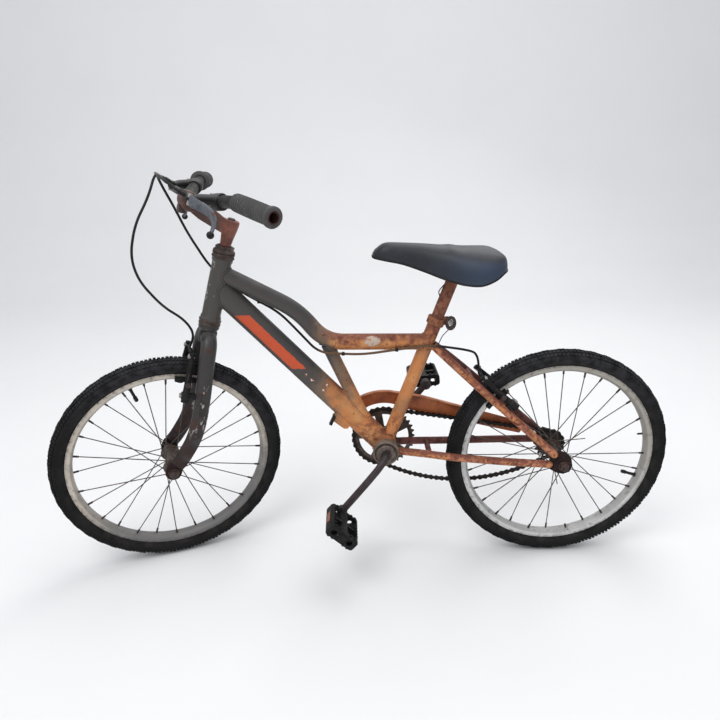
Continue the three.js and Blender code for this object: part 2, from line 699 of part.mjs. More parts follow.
// Points a pitch apart round a closed line, an even number of them.
function evenPoints(line, pitch) {
  const after = (i) => line[(i + 1) % line.length];
  const lengths = line.map(([x, z], i) => Math.hypot(after(i)[0] - x, after(i)[1] - z));
  const total = lengths.reduce((sum, length) => sum + length, 0);
  const count = 2 * Math.round(total / pitch / 2);
  const points = [];
  let [i, done] = [0, 0];
  for (let k = 0; k < count; k++) {
    const target = (total * k) / count;
    while (done + lengths[i] < target) done += lengths[i++];
    const share = (target - done) / lengths[i];
    points.push([0, 1].map((axis) => line[i][axis] + (after(i)[axis] - line[i][axis]) * share));
  }
  return points;
}
// Chain: inner and outer half width, the roof over the teeth, and edges at every other pin
const CHAIN = { inner: 1.8, outer: 3.7, roof: 2.6, edges: [[-4.2, 4.6], [-3.2, 3.8]] };
// A chain's section is a channel that the teeth run in: [out from the pitch line, across].
const chainSection = ([low, high]) => {
  const { inner, outer, roof } = CHAIN;
  const half = [[low, outer], [low, inner], [roof, inner]];
  const far = half.map(([out, across]) => [out, -across]).reverse();
  return [...half, ...far, [high, -outer], [high, outer]];
};
function chain() {
  const line = evenPoints(chainLine(), PITCH);
  const rings = line.map(([x, z], i) => {
    const [x0, z0] = line[(i + line.length - 1) % line.length];
    const [x1, z1] = line[(i + 1) % line.length];
    const length = Math.hypot(x1 - x0, z1 - z0);
    const [ox, oz] = [(z1 - z0) / length, -(x1 - x0) / length];
    const section = chainSection(CHAIN.edges[i % 2]);
    return section.map(([out, across]) => v(x + ox * out, CHAIN_Y + across, z + oz * out));
  });
  return loft(rings, true);
}
add(bike, "chain", chain(), "dark_steel");

// One-piece crank: the spindle runs through the bottom bracket and bends into both arms.
const ARM = [
  [0, 50, 0],
  [0, 59, 8],
  [0, 68, 30],
  [0, 75, 75],
  [0, 82, CRANK_LENGTH],
];
const armUp = ARM.map(([x, y, z]) => v(x, y, z));
const armDown = ARM.map(([x, y, z]) => v(x, -y, -z)).reverse();

const CONE = { r: 15.6, out: 21, from: 26 };
const ARM_R = 7.5;
const SPINDLE_HALF = 48;
const BOSS = { r: 13, from: 73, to: 91 };
const coneProfile = [
  [0, CONE.from],
  [CONE.r, CONE.from],
  [CONE.r, BB_HALF + GAP],
  [CONE.out, BB_HALF + GAP],
  [CONE.out, toothY[0] - GAP],
  [0, toothY[0] - GAP],
];
const cone = turned(coneProfile, 14);
const leftCone = turned(coneProfile.map(([r, y]) => [r, -y]).reverse(), 14);
const crankBar = tube(bent([...armDown, ...armUp], 12, 2), ARM_R, 8);
const spindleProfile = [
  [0, -SPINDLE_HALF],
  [SPINDLE_R, -SPINDLE_HALF],
  [SPINDLE_R, SPINDLE_HALF],
  [0, SPINDLE_HALF],
];
const spindle = turned(spindleProfile, 10);
const PEDAL_PIN = { r: 6, from: 74, to: 174 };
const bosses = sides.flatMap(([side]) => {
  const at = side * CRANK_LENGTH;
  const boss = tube([v(0, side * BOSS.from, at), v(0, side * BOSS.to, at)], BOSS.r, 12);
  const pin = tube([v(0, side * PEDAL_PIN.from, at), v(0, side * PEDAL_PIN.to, at)], PEDAL_PIN.r, 8);
  return [boss, pin];
});
add(cranks, "crank", join(crankBar, spindle, cone, leftCone, ...bosses), "dark_steel");

const PEDAL = { halfX: 35, halfY: 39, halfZ: 13, ease: 7, wall: 8, barrelHalf: 13, ribHalf: 4, open: 6 };
// A block with eased long edges, wells either side of its barrel, and windows through its end plates.
function pedal() {
  const { halfX, halfY, halfZ, wall, barrelHalf, ribHalf, ease, open } = PEDAL;
  const corner = [[halfX, 0], [halfX, halfZ - ease], [halfX - ease, halfZ]];
  const upper = [...corner, ...corner.map(([x, z]) => [-x, z]).reverse()];
  const block = plate([...upper, ...upper.slice(1, -1).map(([x, z]) => [x, -z]).reverse()], -halfY, halfY);
  const wells = [];
  for (const sx of [-1, 1]) {
    const [x0, x1] = sx < 0 ? [-halfX + wall, -barrelHalf] : [barrelHalf, halfX - wall];
    for (const [y0, y1] of [[-halfY + wall, -ribHalf], [ribHalf, halfY - wall]]) {
      wells.push(box(x0, x1, y0, y1, -halfZ - 1, halfZ + 1));
    }
    wells.push(box(x0 + 1, x1 - 1, -halfY - 1, halfY + 1, -open, open));
  }
  const bore = tube([v(0, -halfY - 1, 0), v(0, halfY + 1, 0)], PEDAL_PIN.r + 0.6, 12);
  return cut(block, ...wells, bore);
}
const PEDAL_TILT = { left: 41 * DEG, right: -6 * DEG };
for (const [side, name] of sides) {
  const group = new THREE.Group();
  group.position.set(0, side * PEDAL_Y, side * CRANK_LENGTH);
  group.rotation.set(0, PEDAL_TILT[name] - Math.PI / 2 - CRANK_ANGLE, 0);
  cranks.add(group);
  add(group, name + "_pedal", pedal(), "black_plastic");
}

// Chain guard: a band that follows the chainring's top and runs back along the chain's upper run
const GUARD = { inner: 80, outer: 111, y: 52.5, thick: 1.8, lip: 9 };
const guardOutline = [
  ...arc(BB[0], BB[1], GUARD.outer, 124 * DEG, 78 * DEG, 6),
  [-203, 339],
  [-66, 298],
  [-60, 284],
  [-68, 270],
  [-210, 304],
  ...arc(BB[0], BB[1], GUARD.inner, 56 * DEG, 124 * DEG, 6),
];
const UPPER_EDGE = 9; // points of the outline that the lip follows
const lipHalf = GUARD.lip / 2;
const guardLine = guardOutline.slice(0, UPPER_EDGE).map(([x, z]) => v(x, GUARD.y - lipHalf, z - 1.2));
const lipSection = [
  [-lipHalf, -GUARD.thick / 2],
  [lipHalf + 1, -GUARD.thick / 2],
  [lipHalf + 1, GUARD.thick / 2],
  [-lipHalf, GUARD.thick / 2],
];
const guardLip = sweep(guardLine, () => lipSection);
const guardArm = box(-357, -343, 13, GUARD.y + 1, 352, 356); // to the seat tube
const guardTab = box(-92, -78, GUARD.y, GUARD.y + GUARD.thick, 290, 322); // to the seat stay
const guardBand = plate(guardOutline, GUARD.y, GUARD.y + GUARD.thick);
const guardWhole = join(guardBand, guardLip, guardArm, guardTab);
add(bike, "chain_guard", cut(guardWhole, seatTubeCore, stayCores.seat.right), "copper_paint");

// Fork

const STEERER_R = 12.7;
const CROWN_PROFILE = [
  [0, -116],
  [15, -116],
  [18, -110],
  [18, -85],
  [21, -83],
  [21, -HEAD_HALF - GAP],
  [STEERER_R, -HEAD_HALF - GAP],
  [STEERER_R, HEAD_HALF + 12],
  [0, HEAD_HALF + 12],
];
const crownCoreProfile = [
  [0, -116.4],
  [15.4, -116.4],
  [18.4, -110],
  [18.4, -70],
  [0, -70],
];
const crownCore = turned(crownCoreProfile, 20).rotateX(Math.PI / 2);
add(steering, "fork_crown", turned(CROWN_PROFILE, 16).rotateX(Math.PI / 2), "dark_paint");

const LEG = [
  [0, 17, -98],
  [0, 38, -108],
  [0, 48, -140],
  [8, 50.5, -240],
  [8, 52, -310],
  [-10, 52.5, -366],
  [-RAKE + 4, 52.5, -AXLE_DROP + 19],
];
// The leg's half width across and along, at its top and at its flattened foot
const LEG_HALF = { top: [16, 16], foot: [9, 16.5] };
const legSection = (extra) => (t) => {
  const [across, length] = LEG_HALF.top.map((half, i) => half + (LEG_HALF.foot[i] - half) * t + extra);
  return oval(across, length, 10);
};
const FORK_TIP = [
  [-18, 0],
  [-14, 20],
  [-5, 25],
  [13, 23],
  [17, 6],
  [14, -10],
  [4, -17],
  [-11, -14],
];
for (const [side, name] of sides) {
  const line = bent(mirrored(LEG, side), 30, 2);
  const leg = sweep(line, legSection(0));
  add(steering, "fork_leg_" + name, cut(leg, crownCore, forkTip(side, 2 * GAP)), "dark_paint");
  add(steering, "fork_tip_" + name, cut(forkTip(side, 0), frontAxleHole()), "rust");
}
function forkTip(side, extra) {
  const inner = DROPOUT.front - extra;
  const outer = DROPOUT.front + DROPOUT.thick + extra;
  const [y0, y1] = side > 0 ? [inner, outer] : [-outer, -inner];
  const share = 1 + extra / 14;
  return plate(FORK_TIP.map(([x, z]) => [x * share - RAKE, z * share - AXLE_DROP]), y0, y1);
}
function frontAxleHole() {
  return tube([v(-RAKE, -90, -AXLE_DROP), v(-RAKE, 90, -AXLE_DROP)], AXLE_R + GAP + 0.3, 12);
}

// Headset nut, stem and handlebar

const NUT_TOP = HEAD_HALF + 14;
const NUT_PROFILE = [
  [STEERER_R + GAP, HEAD_HALF + GAP],
  [22, HEAD_HALF + GAP],
  [20, HEAD_HALF + 7],
  [17, HEAD_HALF + 8],
  [16, NUT_TOP],
  [STEERER_R + GAP, NUT_TOP],
];
add(steering, "headset_nut", turned(NUT_PROFILE, 16).rotateX(Math.PI / 2), "rust");

// Handlebar corners from the clamp to the right-hand end, in the bar's own frame
const BAR = [[0, 0, 0], [2, 40, 1], [44, 150, 29], [80, 265, 27]];
const right = BAR.map((p) => v(...p));
const left = mirrored(BAR.slice(1), -1).reverse();
const barPoints = bent([...left, ...right], 30, 3);
const barSolid = tube(barPoints, BAR_R, 10);
const barCore = tube(barPoints, BAR_R + GAP, 10);

const STEM_SIDE = [
  [-10, 91],
  [10, 91],
  [17, 138],
  [-10, 141],
  [-70, 172],
  [-86, 150],
  [-62, 132],
  [-12, 114],
];
const STEM = { beamHalf: 13, clampHalf: 22, clampR: 18, quillR: 11.1, quillTop: 125 };
const stemBeam = plate(STEM_SIDE, -STEM.beamHalf, STEM.beamHalf);
const quill = tube([v(0, 0, NUT_TOP + GAP), v(0, 0, STEM.quillTop)], STEM.quillR, 14);
const atClamp = (geometry) => geometry.rotateX(BAR_TILT).translate(BAR_CLAMP[0], 0, BAR_CLAMP[1]);
const stemClamp = atClamp(tube([v(0, -STEM.clampHalf, 0), v(0, STEM.clampHalf, 0)], STEM.clampR, 14));
const stemBore = atClamp(barCore.clone());
add(cockpit, "stem", cut(join(stemBeam, quill, stemClamp), stemBore), "rust");

const barEnd = (side) => mirrored([BAR[2], BAR[3]], side);
const along = (side, share) => barEnd(side)[0].clone().lerp(barEnd(side)[1], share);
const barBores = sides.map(([side]) => tube([along(side, 0.7), along(side, 1.1)], BAR_R - 2, 10));
add(bar, "handlebar", cut(barSolid, ...barBores), "dark_paint");
const GRIP_START = 0.08;
// Flanges: from, to along the bar's straight end, and radius
const GRIP_FLANGES = { left: [[0.93, 0.995, 17.8]], right: [[GRIP_START, 0.13, 20], [0.93, 0.995, 17.8]] };
for (const [side, name] of sides) {
  const [from, to] = [along(side, GRIP_START), along(side, 0.995)];
  const sleeve = tube([from, to], GRIP_R, 10);
  const flanges = GRIP_FLANGES[name].map(([a, b, r]) => tube([along(side, a), along(side, b)], r, 10));
  add(bar, "grip_" + name, cut(join(sleeve, ...flanges), barCore), "grip");
}

// Brake levers: a clamp on the bar's bend, and a blade in front of the grip
const LEVER = { y: 112, clampHalf: 11, clampR: 16.5, armR: 9, adjusterR: 5, ballR: 5, bladeHalf: [9.5, 3.2] };
const ARM_TIP = [-16, 96, 14];
const ADJUSTER = [[-14, 98, 14], [-42, 80, 25]];
const DROOP = { left: [0, 0], right: [29, -26] }; // how far back and down each blade's end has been bent
const BLADE = [
  [-18, 100, 12],
  [-14, 124, 10],
  [6, 150, 5],
  [14, 170, -5],
  [10, 184, -18],
  [6, 191, -28],
];
for (const [side, name] of sides) {
  const [inner, outer] = mirrored([BAR[1], BAR[2]], side);
  const seat = inner.clone().lerp(outer, (LEVER.y - BAR[1][1]) / (BAR[2][1] - BAR[1][1]));
  const bend = outer.clone().sub(inner).normalize();
  const clampLine = [-LEVER.clampHalf, LEVER.clampHalf].map((d) => seat.clone().addScaledVector(bend, d));
  const clampRing = tube(clampLine, LEVER.clampR, 10);
  const arm = tube([seat.clone(), ...mirrored([ARM_TIP], side)], LEVER.armR, 8);
  const adjuster = tube(mirrored(ADJUSTER, side), LEVER.adjusterR, 8);
  const bladeEnd = BLADE[BLADE.length - 1];
  const drooped = BLADE.map(([x, y, z]) => {
    const share = ((y - BLADE[0][1]) / (bladeEnd[1] - BLADE[0][1])) ** 2;
    return [x + DROOP[name][0] * share, y, z + DROOP[name][1] * share];
  });
  const bladeLine = bent(mirrored(drooped, side), 12, 2);
  const [wide, thick] = LEVER.bladeHalf;
  const blade = sweep(bladeLine, () => oval(wide, thick, 6));
  const tip = bladeLine[bladeLine.length - 1];
  const ball = new THREE.SphereGeometry(LEVER.ballR, 6, 4).translate(tip.x, tip.y, tip.z);
  const bladeCore = sweep(bladeLine, () => oval(wide + 2 * GAP, thick + 2 * GAP, 6));
  add(bar, "lever_bracket_" + name, cut(join(clampRing, arm, adjuster), barCore, bladeCore), "black_plastic");
  add(bar, "brake_lever_" + name, join(blade, ball), "grey_metal");
}

// Rim brakes: arms on bosses in front of the fork and behind the seat stays.
// Each is drawn with the wheel's axle at the origin and Z along the leg.
const BRAKE = { boss: 180, pad: 206, shoulder: 240, top: 268, topY: 33, armHalf: [6, 6.5] };
const BRAKE_BOSS_R = 7.5;
const PAD_POST_R = 4;
const PAD = { gap: 5, thick: 9, half: 27, below: 6, above: 4 };
const BRAKES = {
  // which way the arm stands off its leg or stay, how far, where it seats, and its boss's reach
  front: { face: -1, seatX: 6, seatY: 48, bossReach: 20 },
  rear: { face: 1, seatX: 25, seatY: 42, bossReach: 16 },
};
function brakeArm(side, { face, seatX, seatY, bossReach }) {
  const at = face * seatX;
  const armLine = [
    v(at, side * seatY, BRAKE.boss - 12),
    v(at, side * (seatY - 4), BRAKE.pad),
    v(at, side * (BRAKE.topY + 2), BRAKE.shoulder),
    v(at, side * BRAKE.topY, BRAKE.top),
  ];
  const arm = sweep(armLine, () => oval(...BRAKE.armHalf, 8));
  const bossLine = [at - face * bossReach, at + face * 9].map((x) => v(x, side * seatY, BRAKE.boss));
  const boss = tube(bossLine, BRAKE_BOSS_R, 10);
  const inner = RIM_HALF_W + PAD.gap;
  const [y0, y1] = side > 0 ? [inner, inner + PAD.thick] : [-inner - PAD.thick, -inner];
  const padX = at * 0.4;
  const pad = box(padX - PAD.half, padX + PAD.half, y0, y1, BRAKE.pad - PAD.below, BRAKE.pad + PAD.above);
  const postLine = [inner + PAD.thick - 2, seatY + 8].map((y) => v(at, side * y, BRAKE.pad));
  return join(arm, boss, pad, tube(postLine, PAD_POST_R, 8));
}
const frontBrake = new THREE.Group();
frontBrake.position.copy(frontWheel.position);
steering.add(frontBrake);
const STAY_TURN = -48.6 * DEG;
const rearBrake = new THREE.Group();
rearBrake.position.copy(rearWheel.position);
rearBrake.rotation.set(0, STAY_TURN, 0);
bike.add(rearBrake);
for (const [side, name] of sides) {
  const legLine = bent(mirrored(LEG, side), 30, 2);
  const legCore = sweep(legLine, legSection(GAP)).translate(RAKE, 0, AXLE_DROP);
  const stayCore = stayCores.seat[name].clone().translate(0, 0, -AXLE_Z).rotateY(-STAY_TURN);
  add(frontBrake, "front_brake_arm_" + name, cut(brakeArm(side, BRAKES.front), legCore), "black_plastic");
  add(rearBrake, "rear_brake_arm_" + name, cut(brakeArm(side, BRAKES.rear), stayCore), "black_plastic");
}

// Brake cables: hand-picked routes that follow the real slack of the outer casing
const CABLE_R = 2.5;
const WIRE_R = 1.6;
const WIRE_END = BRAKE.topY - BRAKE.armHalf[0] - GAP; // inner face of the brake arms' tops
const cable = (corners) => tube(bent(corners, 26, 2), CABLE_R, 6);
const spread = (points) => points.map((p) => v(...p));
bicycle.updateMatrixWorld(true);
// The casing leaves the lever's adjuster in a straight line
const leverEnd = (side, group) =>
  [1.02, 1.5].map((share) => {
    const [from, to] = mirrored(ADJUSTER, side);
    return group.worldToLocal(bar.localToWorld(from.lerp(to, share)));
  });
const brakeTop = (group, parent, y) => parent.worldToLocal(group.localToWorld(v(...y)));

const FRONT_ROUTE = [
  [-150, 38, 146],
  [-168, 20, 90],
  [-168, 8, 32],
  [-146, 6, -12],
  [-95, 0, -54],
  [-52, -4, -72],
  [-27, -8, -98],
];
const frontTop = (y) => brakeTop(frontBrake, steering, [-6, y, BRAKE.top - 6]);
const frontWire = tube([frontTop(-WIRE_END), frontTop(WIRE_END)], WIRE_R, 6);
const frontHose = cable([...leverEnd(1, steering), ...spread(FRONT_ROUTE), frontTop(8), frontTop(WIRE_END)]);
add(steering, "front_brake_cable", join(frontHose, frontWire), "black_plastic");

const CABLE_CLIP = [-700, 24, 628]; // where the rear cable leaves the head tube's side
const SLACK_ROUTE = [
  [-808, -36, 846],
  [-804, -12, 818],
  [-792, 4, 783],
  [-773, 10, 734],
  [-738, 24, 664],
];
const slackLine = [...leverEnd(-1, bike), ...spread(SLACK_ROUTE), v(...CABLE_CLIP)];
add(bike, "steering_cable_slack", cable(slackLine), "black_plastic");

const REAR_ROUTE = [
  [-660, 8, 606],
  [-600, 0, 574.5],
  [-556, -10, 530],
  [-520, -18.5, 492],
  [-430, -19, 488],
  [-291, -20.5, 508],
  [-214, -15, 495],
  [-190, -6, 484],
];
const rearTop = (y) => brakeTop(rearBrake, bike, [25, y, BRAKE.top - 6]);
const rearWire = tube([rearTop(-WIRE_END), rearTop(WIRE_END)], WIRE_R, 6);
const beforeClip = v(...SLACK_ROUTE[SLACK_ROUTE.length - 1]);
const pastClip = [1.01, 1.25].map((share) => beforeClip.clone().lerp(v(...CABLE_CLIP), share));
const rearHose = cable([...pastClip, ...spread(REAR_ROUTE), rearTop(8), rearTop(WIRE_END)]);
add(bike, "rear_brake_cable", join(rearHose, rearWire), "black_plastic");

export default bicycle;
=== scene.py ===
"""A worn child's bicycle with 20-inch wheels, dressed over its solids.

Sizes are in millimetres. Each piece is drawn in the frame of what carries it, with X to the rear,
Y to the drive side and Z up, and then set in place in metres.
"""
import math

import bmesh
import bpy
from mathutils import Matrix, Vector, geometry
from mathutils.bvhtree import BVHTree


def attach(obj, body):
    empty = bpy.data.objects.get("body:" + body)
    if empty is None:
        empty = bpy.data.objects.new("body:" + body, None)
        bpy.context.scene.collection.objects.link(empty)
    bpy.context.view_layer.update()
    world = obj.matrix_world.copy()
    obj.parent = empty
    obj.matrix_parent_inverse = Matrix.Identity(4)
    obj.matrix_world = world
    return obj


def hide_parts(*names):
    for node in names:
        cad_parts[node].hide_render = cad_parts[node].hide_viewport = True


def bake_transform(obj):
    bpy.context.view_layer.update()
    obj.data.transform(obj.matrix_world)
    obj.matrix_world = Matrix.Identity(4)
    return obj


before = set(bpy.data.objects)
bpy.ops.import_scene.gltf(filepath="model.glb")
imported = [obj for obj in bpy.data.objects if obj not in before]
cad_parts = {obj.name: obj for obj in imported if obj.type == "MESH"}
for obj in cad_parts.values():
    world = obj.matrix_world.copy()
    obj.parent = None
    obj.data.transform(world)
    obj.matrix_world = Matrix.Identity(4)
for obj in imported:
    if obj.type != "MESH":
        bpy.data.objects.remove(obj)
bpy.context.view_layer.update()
MM = 0.001
SIDES = [(-1, "left"), (1, "right")]

# Driving sizes, shared with the solids
WHEEL_R = 245
RIM_HALF_W = 13
TYRE_HALF_W = 22
SPOKES = 28
AXLE_Z = 245
BB = (-380, 268)
HEAD = (-722.5, 623.5)
HEAD_ANGLE = math.radians(74.5)
SEAT_ANGLE = math.radians(70.5)
SEAT_TUBE_TOP_Z = 562
SADDLE_TOP = (-265, 708)
TUBE_R = {"top": 17, "strut": 13.5, "seat": 14.5, "stay": 8.2}
DOWN_HALVES = (18, 25)
RAKE = 22
STEER_REST = math.radians(20.5)
STEM_TURN = math.radians(2.5)
BAR_TILT = math.radians(-3)
BAR_CLAMP = (-84, 160)
BAR_R = 11.1
PITCH = 12.7
RING_TEETH = 34
COG_TEETH = 16
CHAIN_Y = 45
CHAIN_SAG = 58
CRANK_LENGTH = 148
CRANK_ANGLE = math.radians(-49.7)
PEDAL_Y = 138
PEDAL_TILT = {"left": math.radians(41), "right": math.radians(-6)}
STAY_TURN = math.radians(-48.6)

# The turned front wheel leans, so its axle stands a little lower than the rear one
LEAN = math.asin(math.cos(HEAD_ANGLE) * math.sin(STEER_REST))
FRONT_AXLE_Z = (WHEEL_R - TYRE_HALF_W) * math.cos(LEAN) + TYRE_HALF_W
RAKE_RISE = RAKE * math.cos(HEAD_ANGLE) * math.cos(STEER_REST)
AXLE_DROP = (HEAD[1] + RAKE_RISE - FRONT_AXLE_Z) / math.sin(HEAD_ANGLE)
FLOOR_Z = -SADDLE_TOP[1] * MM


def move(x, y, z):
    return Matrix.Translation((x * MM, y * MM, z * MM))


def turn(angle, axis):
    return Matrix.Rotation(angle, 4, axis)


BIKE = move(-SADDLE_TOP[0], 0, -SADDLE_TOP[1])
HEAD_PLACE = move(HEAD[0], 0, HEAD[1]) @ turn(math.pi / 2 - HEAD_ANGLE, "Y")
STEERING = BIKE @ HEAD_PLACE @ turn(STEER_REST, "Z")
COCKPIT = STEERING @ turn(STEM_TURN, "Z")
CLAMP_PLACE = move(BAR_CLAMP[0], 0, BAR_CLAMP[1]) @ turn(BAR_TILT, "X")
BAR = COCKPIT @ CLAMP_PLACE
FRONT_WHEEL = STEERING @ move(-RAKE, 0, -AXLE_DROP)
REAR_WHEEL = BIKE @ move(0, 0, AXLE_Z)
CRANKS = BIKE @ move(BB[0], 0, BB[1]) @ turn(math.pi / 2 + CRANK_ANGLE, "Y")
REAR_BRAKE = REAR_WHEEL @ turn(STAY_TURN, "Y")
# What carries a piece: the place it is drawn in, and the body it rides on
ON_FRAME = (BIKE, "frame")
ON_FORK = (STEERING, "steering")
ON_STEM = (COCKPIT, "steering")
ON_BAR = (BAR, "steering")
ON_CRANKS = (CRANKS, "cranks")
ON_FRONT_WHEEL = (FRONT_WHEEL, "front_wheel")
ON_REAR_WHEEL = (REAR_WHEEL, "rear_wheel")


# Looks; their lengths are in metres

class Look:
    """A material: a base colour, and layers of other colours laid over it by masks."""

    def __init__(self, name, colour, roughness, metallic=0.0, specular=0.5, frame_turn=None):
        self.material = bpy.data.materials.new(name)
        self.material.use_nodes = True
        self.tree = self.material.node_tree
        self.shader = self.tree.nodes["Principled BSDF"]
        coords = self.tree.nodes.new("ShaderNodeTexCoord")
        self.place = coords.outputs["Object"]
        if frame_turn:
            back = frame_turn.to_3x3().inverted().to_euler()
            self.place = self.node("ShaderNodeMapping", "Vector", Vector=self.place, Rotation=back)
        self.facing = coords.outputs["Normal"]
        self.colour = (*colour, 1)
        self.roughness = roughness
        self.shader.inputs["Metallic"].default_value = metallic
        self.shader.inputs["Specular IOR Level"].default_value = specular

    def node(self, kind, output, settings=(), **inputs):
        made = self.tree.nodes.new(kind)
        for key, value in settings:
            setattr(made, key, value)
        for key, value in inputs.items():
            self.feed(made.inputs[key], value)
        return made.outputs[output]

    def feed(self, socket, value):
        if isinstance(value, bpy.types.NodeSocket):
            self.tree.links.new(value, socket)
        else:
            socket.default_value = value

    def operate(self, kind, operation, output, *values):
        made = self.tree.nodes.new(kind)
        made.operation = operation
        for socket, value in zip(made.inputs, values):
            self.feed(socket, value)
        return made.outputs[output]

    def math(self, operation, *values):
        return self.operate("ShaderNodeMath", operation, "Value", *values)

    def step(self, value, low, high):
        """0 below low, 1 above high, smooth between; low may be the larger one."""
        if low > high:
            return self.math("SUBTRACT", 1.0, self.step(value, high, low))
        settings = [("interpolation_type", "SMOOTHSTEP")]
        inputs = {"Value": value, "From Min": low, "From Max": high}
        return self.node("ShaderNodeMapRange", "Result", settings, **inputs)

    def stretched(self, scale, shift=(0, 0, 0)):
        return self.node("ShaderNodeMapping", "Vector", Vector=self.place, Scale=scale, Location=shift)

    def cloud(self, scale, detail=4.0, vector=None):
        inputs = {"Vector": vector or self.place, "Scale": scale, "Detail": detail, "Roughness": 0.6}
        return self.node("ShaderNodeTexNoise", "Fac", **inputs)

    def cells(self, scale):
        return self.node("ShaderNodeTexVoronoi", "Distance", Vector=self.place, Scale=scale)

    def spots(self, scale, low, high, detail=4.0, vector=None):
        return self.step(self.cloud(scale, detail, vector), low, high)

    def waver(self, value, scale, reach, detail=4.0):
        """A value that wavers by half of reach each way."""
        cloud = self.math("SUBTRACT", self.cloud(scale, detail), 0.5)
        return self.math("ADD", value, self.math("MULTIPLY", cloud, reach))

    def axis(self, name, vector=None):
        return self.node("ShaderNodeSeparateXYZ", name, Vector=vector or self.place)

    def upward(self, low, high):
        """A mask over what faces up, from low to high."""
        return self.step(self.axis("Z", self.facing), low, high)

    def along(self, direction):
        return self.operate("ShaderNodeVectorMath", "DOT_PRODUCT", "Value", self.place, direction)

    def distance(self, point, squeeze=(1, 1, 1)):
        """Distance from a point in millimetres, in a space stretched by squeeze."""
        shift = [-p * MM * s for p, s in zip(point, squeeze)]
        return self.operate("ShaderNodeVectorMath", "LENGTH", "Value", self.stretched(squeeze, shift))

    def radius(self):
        """Distance from the piece's own Y axis."""
        return self.distance((0, 0, 0), (1, 0, 1))

    def both(self, *masks):
        result = masks[0]
        for mask in masks[1:]:
            result = self.math("MULTIPLY", result, mask)
        return result

    def layer(self, mask, colour, roughness=None, share=1.0):
        """A colour laid where the mask is, at most by a share."""
        if share != 1.0:
            mask = self.math("MULTIPLY", mask, share)
        inputs = {"Fac": mask, "Color1": self.colour, "Color2": (*colour, 1)}
        self.colour = self.node("ShaderNodeMixRGB", "Color", **inputs)
        if roughness is not None:
            inputs = {"Value": mask, "To Min": self.roughness, "To Max": roughness}
            self.roughness = self.node("ShaderNodeMapRange", "Result", **inputs)

    def mottle(self, scale, low, high, colour, roughness=None, share=1.0, detail=4.0, vector=None):
        """Blots of a colour where a cloud of the given scale is above low to high."""
        self.layer(self.spots(scale, low, high, detail, vector), colour, roughness, share)

    def finish(self, height=None, depth=0.3, strength=0.5):
        """Wires the layers into the shader; height is a bump in share of depth millimetres."""
        self.feed(self.shader.inputs["Base Color"], self.colour)
        self.feed(self.shader.inputs["Roughness"], self.roughness)
        if height is not None:
            inputs = {"Height": height, "Distance": depth * MM, "Strength": strength}
            self.feed(self.shader.inputs["Normal"], self.node("ShaderNodeBump", "Normal", **inputs))
        return self.material


COPPER = (0.53, 0.205, 0.066)
COPPER_PALE = (0.60, 0.29, 0.11)
BROWN = (0.25, 0.095, 0.042)
PINK = (0.50, 0.20, 0.12)
DARK_RED = (0.20, 0.056, 0.040)
MAROON = (0.15, 0.042, 0.028)
RUST = (0.115, 0.036, 0.017)
RUST_PALE = (0.22, 0.082, 0.036)
RUST_TOP = (0.22, 0.080, 0.046)
RUST_LOW = (0.17, 0.055, 0.030)
CHARCOAL = (0.064, 0.057, 0.053)
CHARCOAL_TOP = (0.036, 0.033, 0.034)
FADED = (0.17, 0.112, 0.075)
BARE = (0.62, 0.57, 0.52)
BARE_HEAD = (0.55, 0.52, 0.48)
BARE_CHIP = (0.70, 0.66, 0.61)
WORN_PATCH = (0.50, 0.40, 0.33)
WORN_SPOTS = (0.44, 0.22, 0.12)
STRIPE = (0.56, 0.083, 0.027)
# Where the paint changes: to brown and charcoal along X, to rust up Z and near the bottom bracket
FADED_RUN = (-0.475, -0.510)
CHARCOAL_RUN = (-0.510, -0.555)
RUSTY_TOP = (0.495, 0.540)
RUSTY_ROUND = (0.115, 0.045)
STRIPE_RUN = {"from": 70, "to": 232, "half": 12, "slant": 0.9, "soft": 2}
PALE_PATCH = (-410, -17, 516)
# Chips in the down tube's paint: x, y, z, size
PAINT_CHIPS = [(-505, -17, 420, 4.6), (-512, -17, 409, 3.4), (-535, -18, 432, 3.2), (-547, -18, 445, 2.6)]


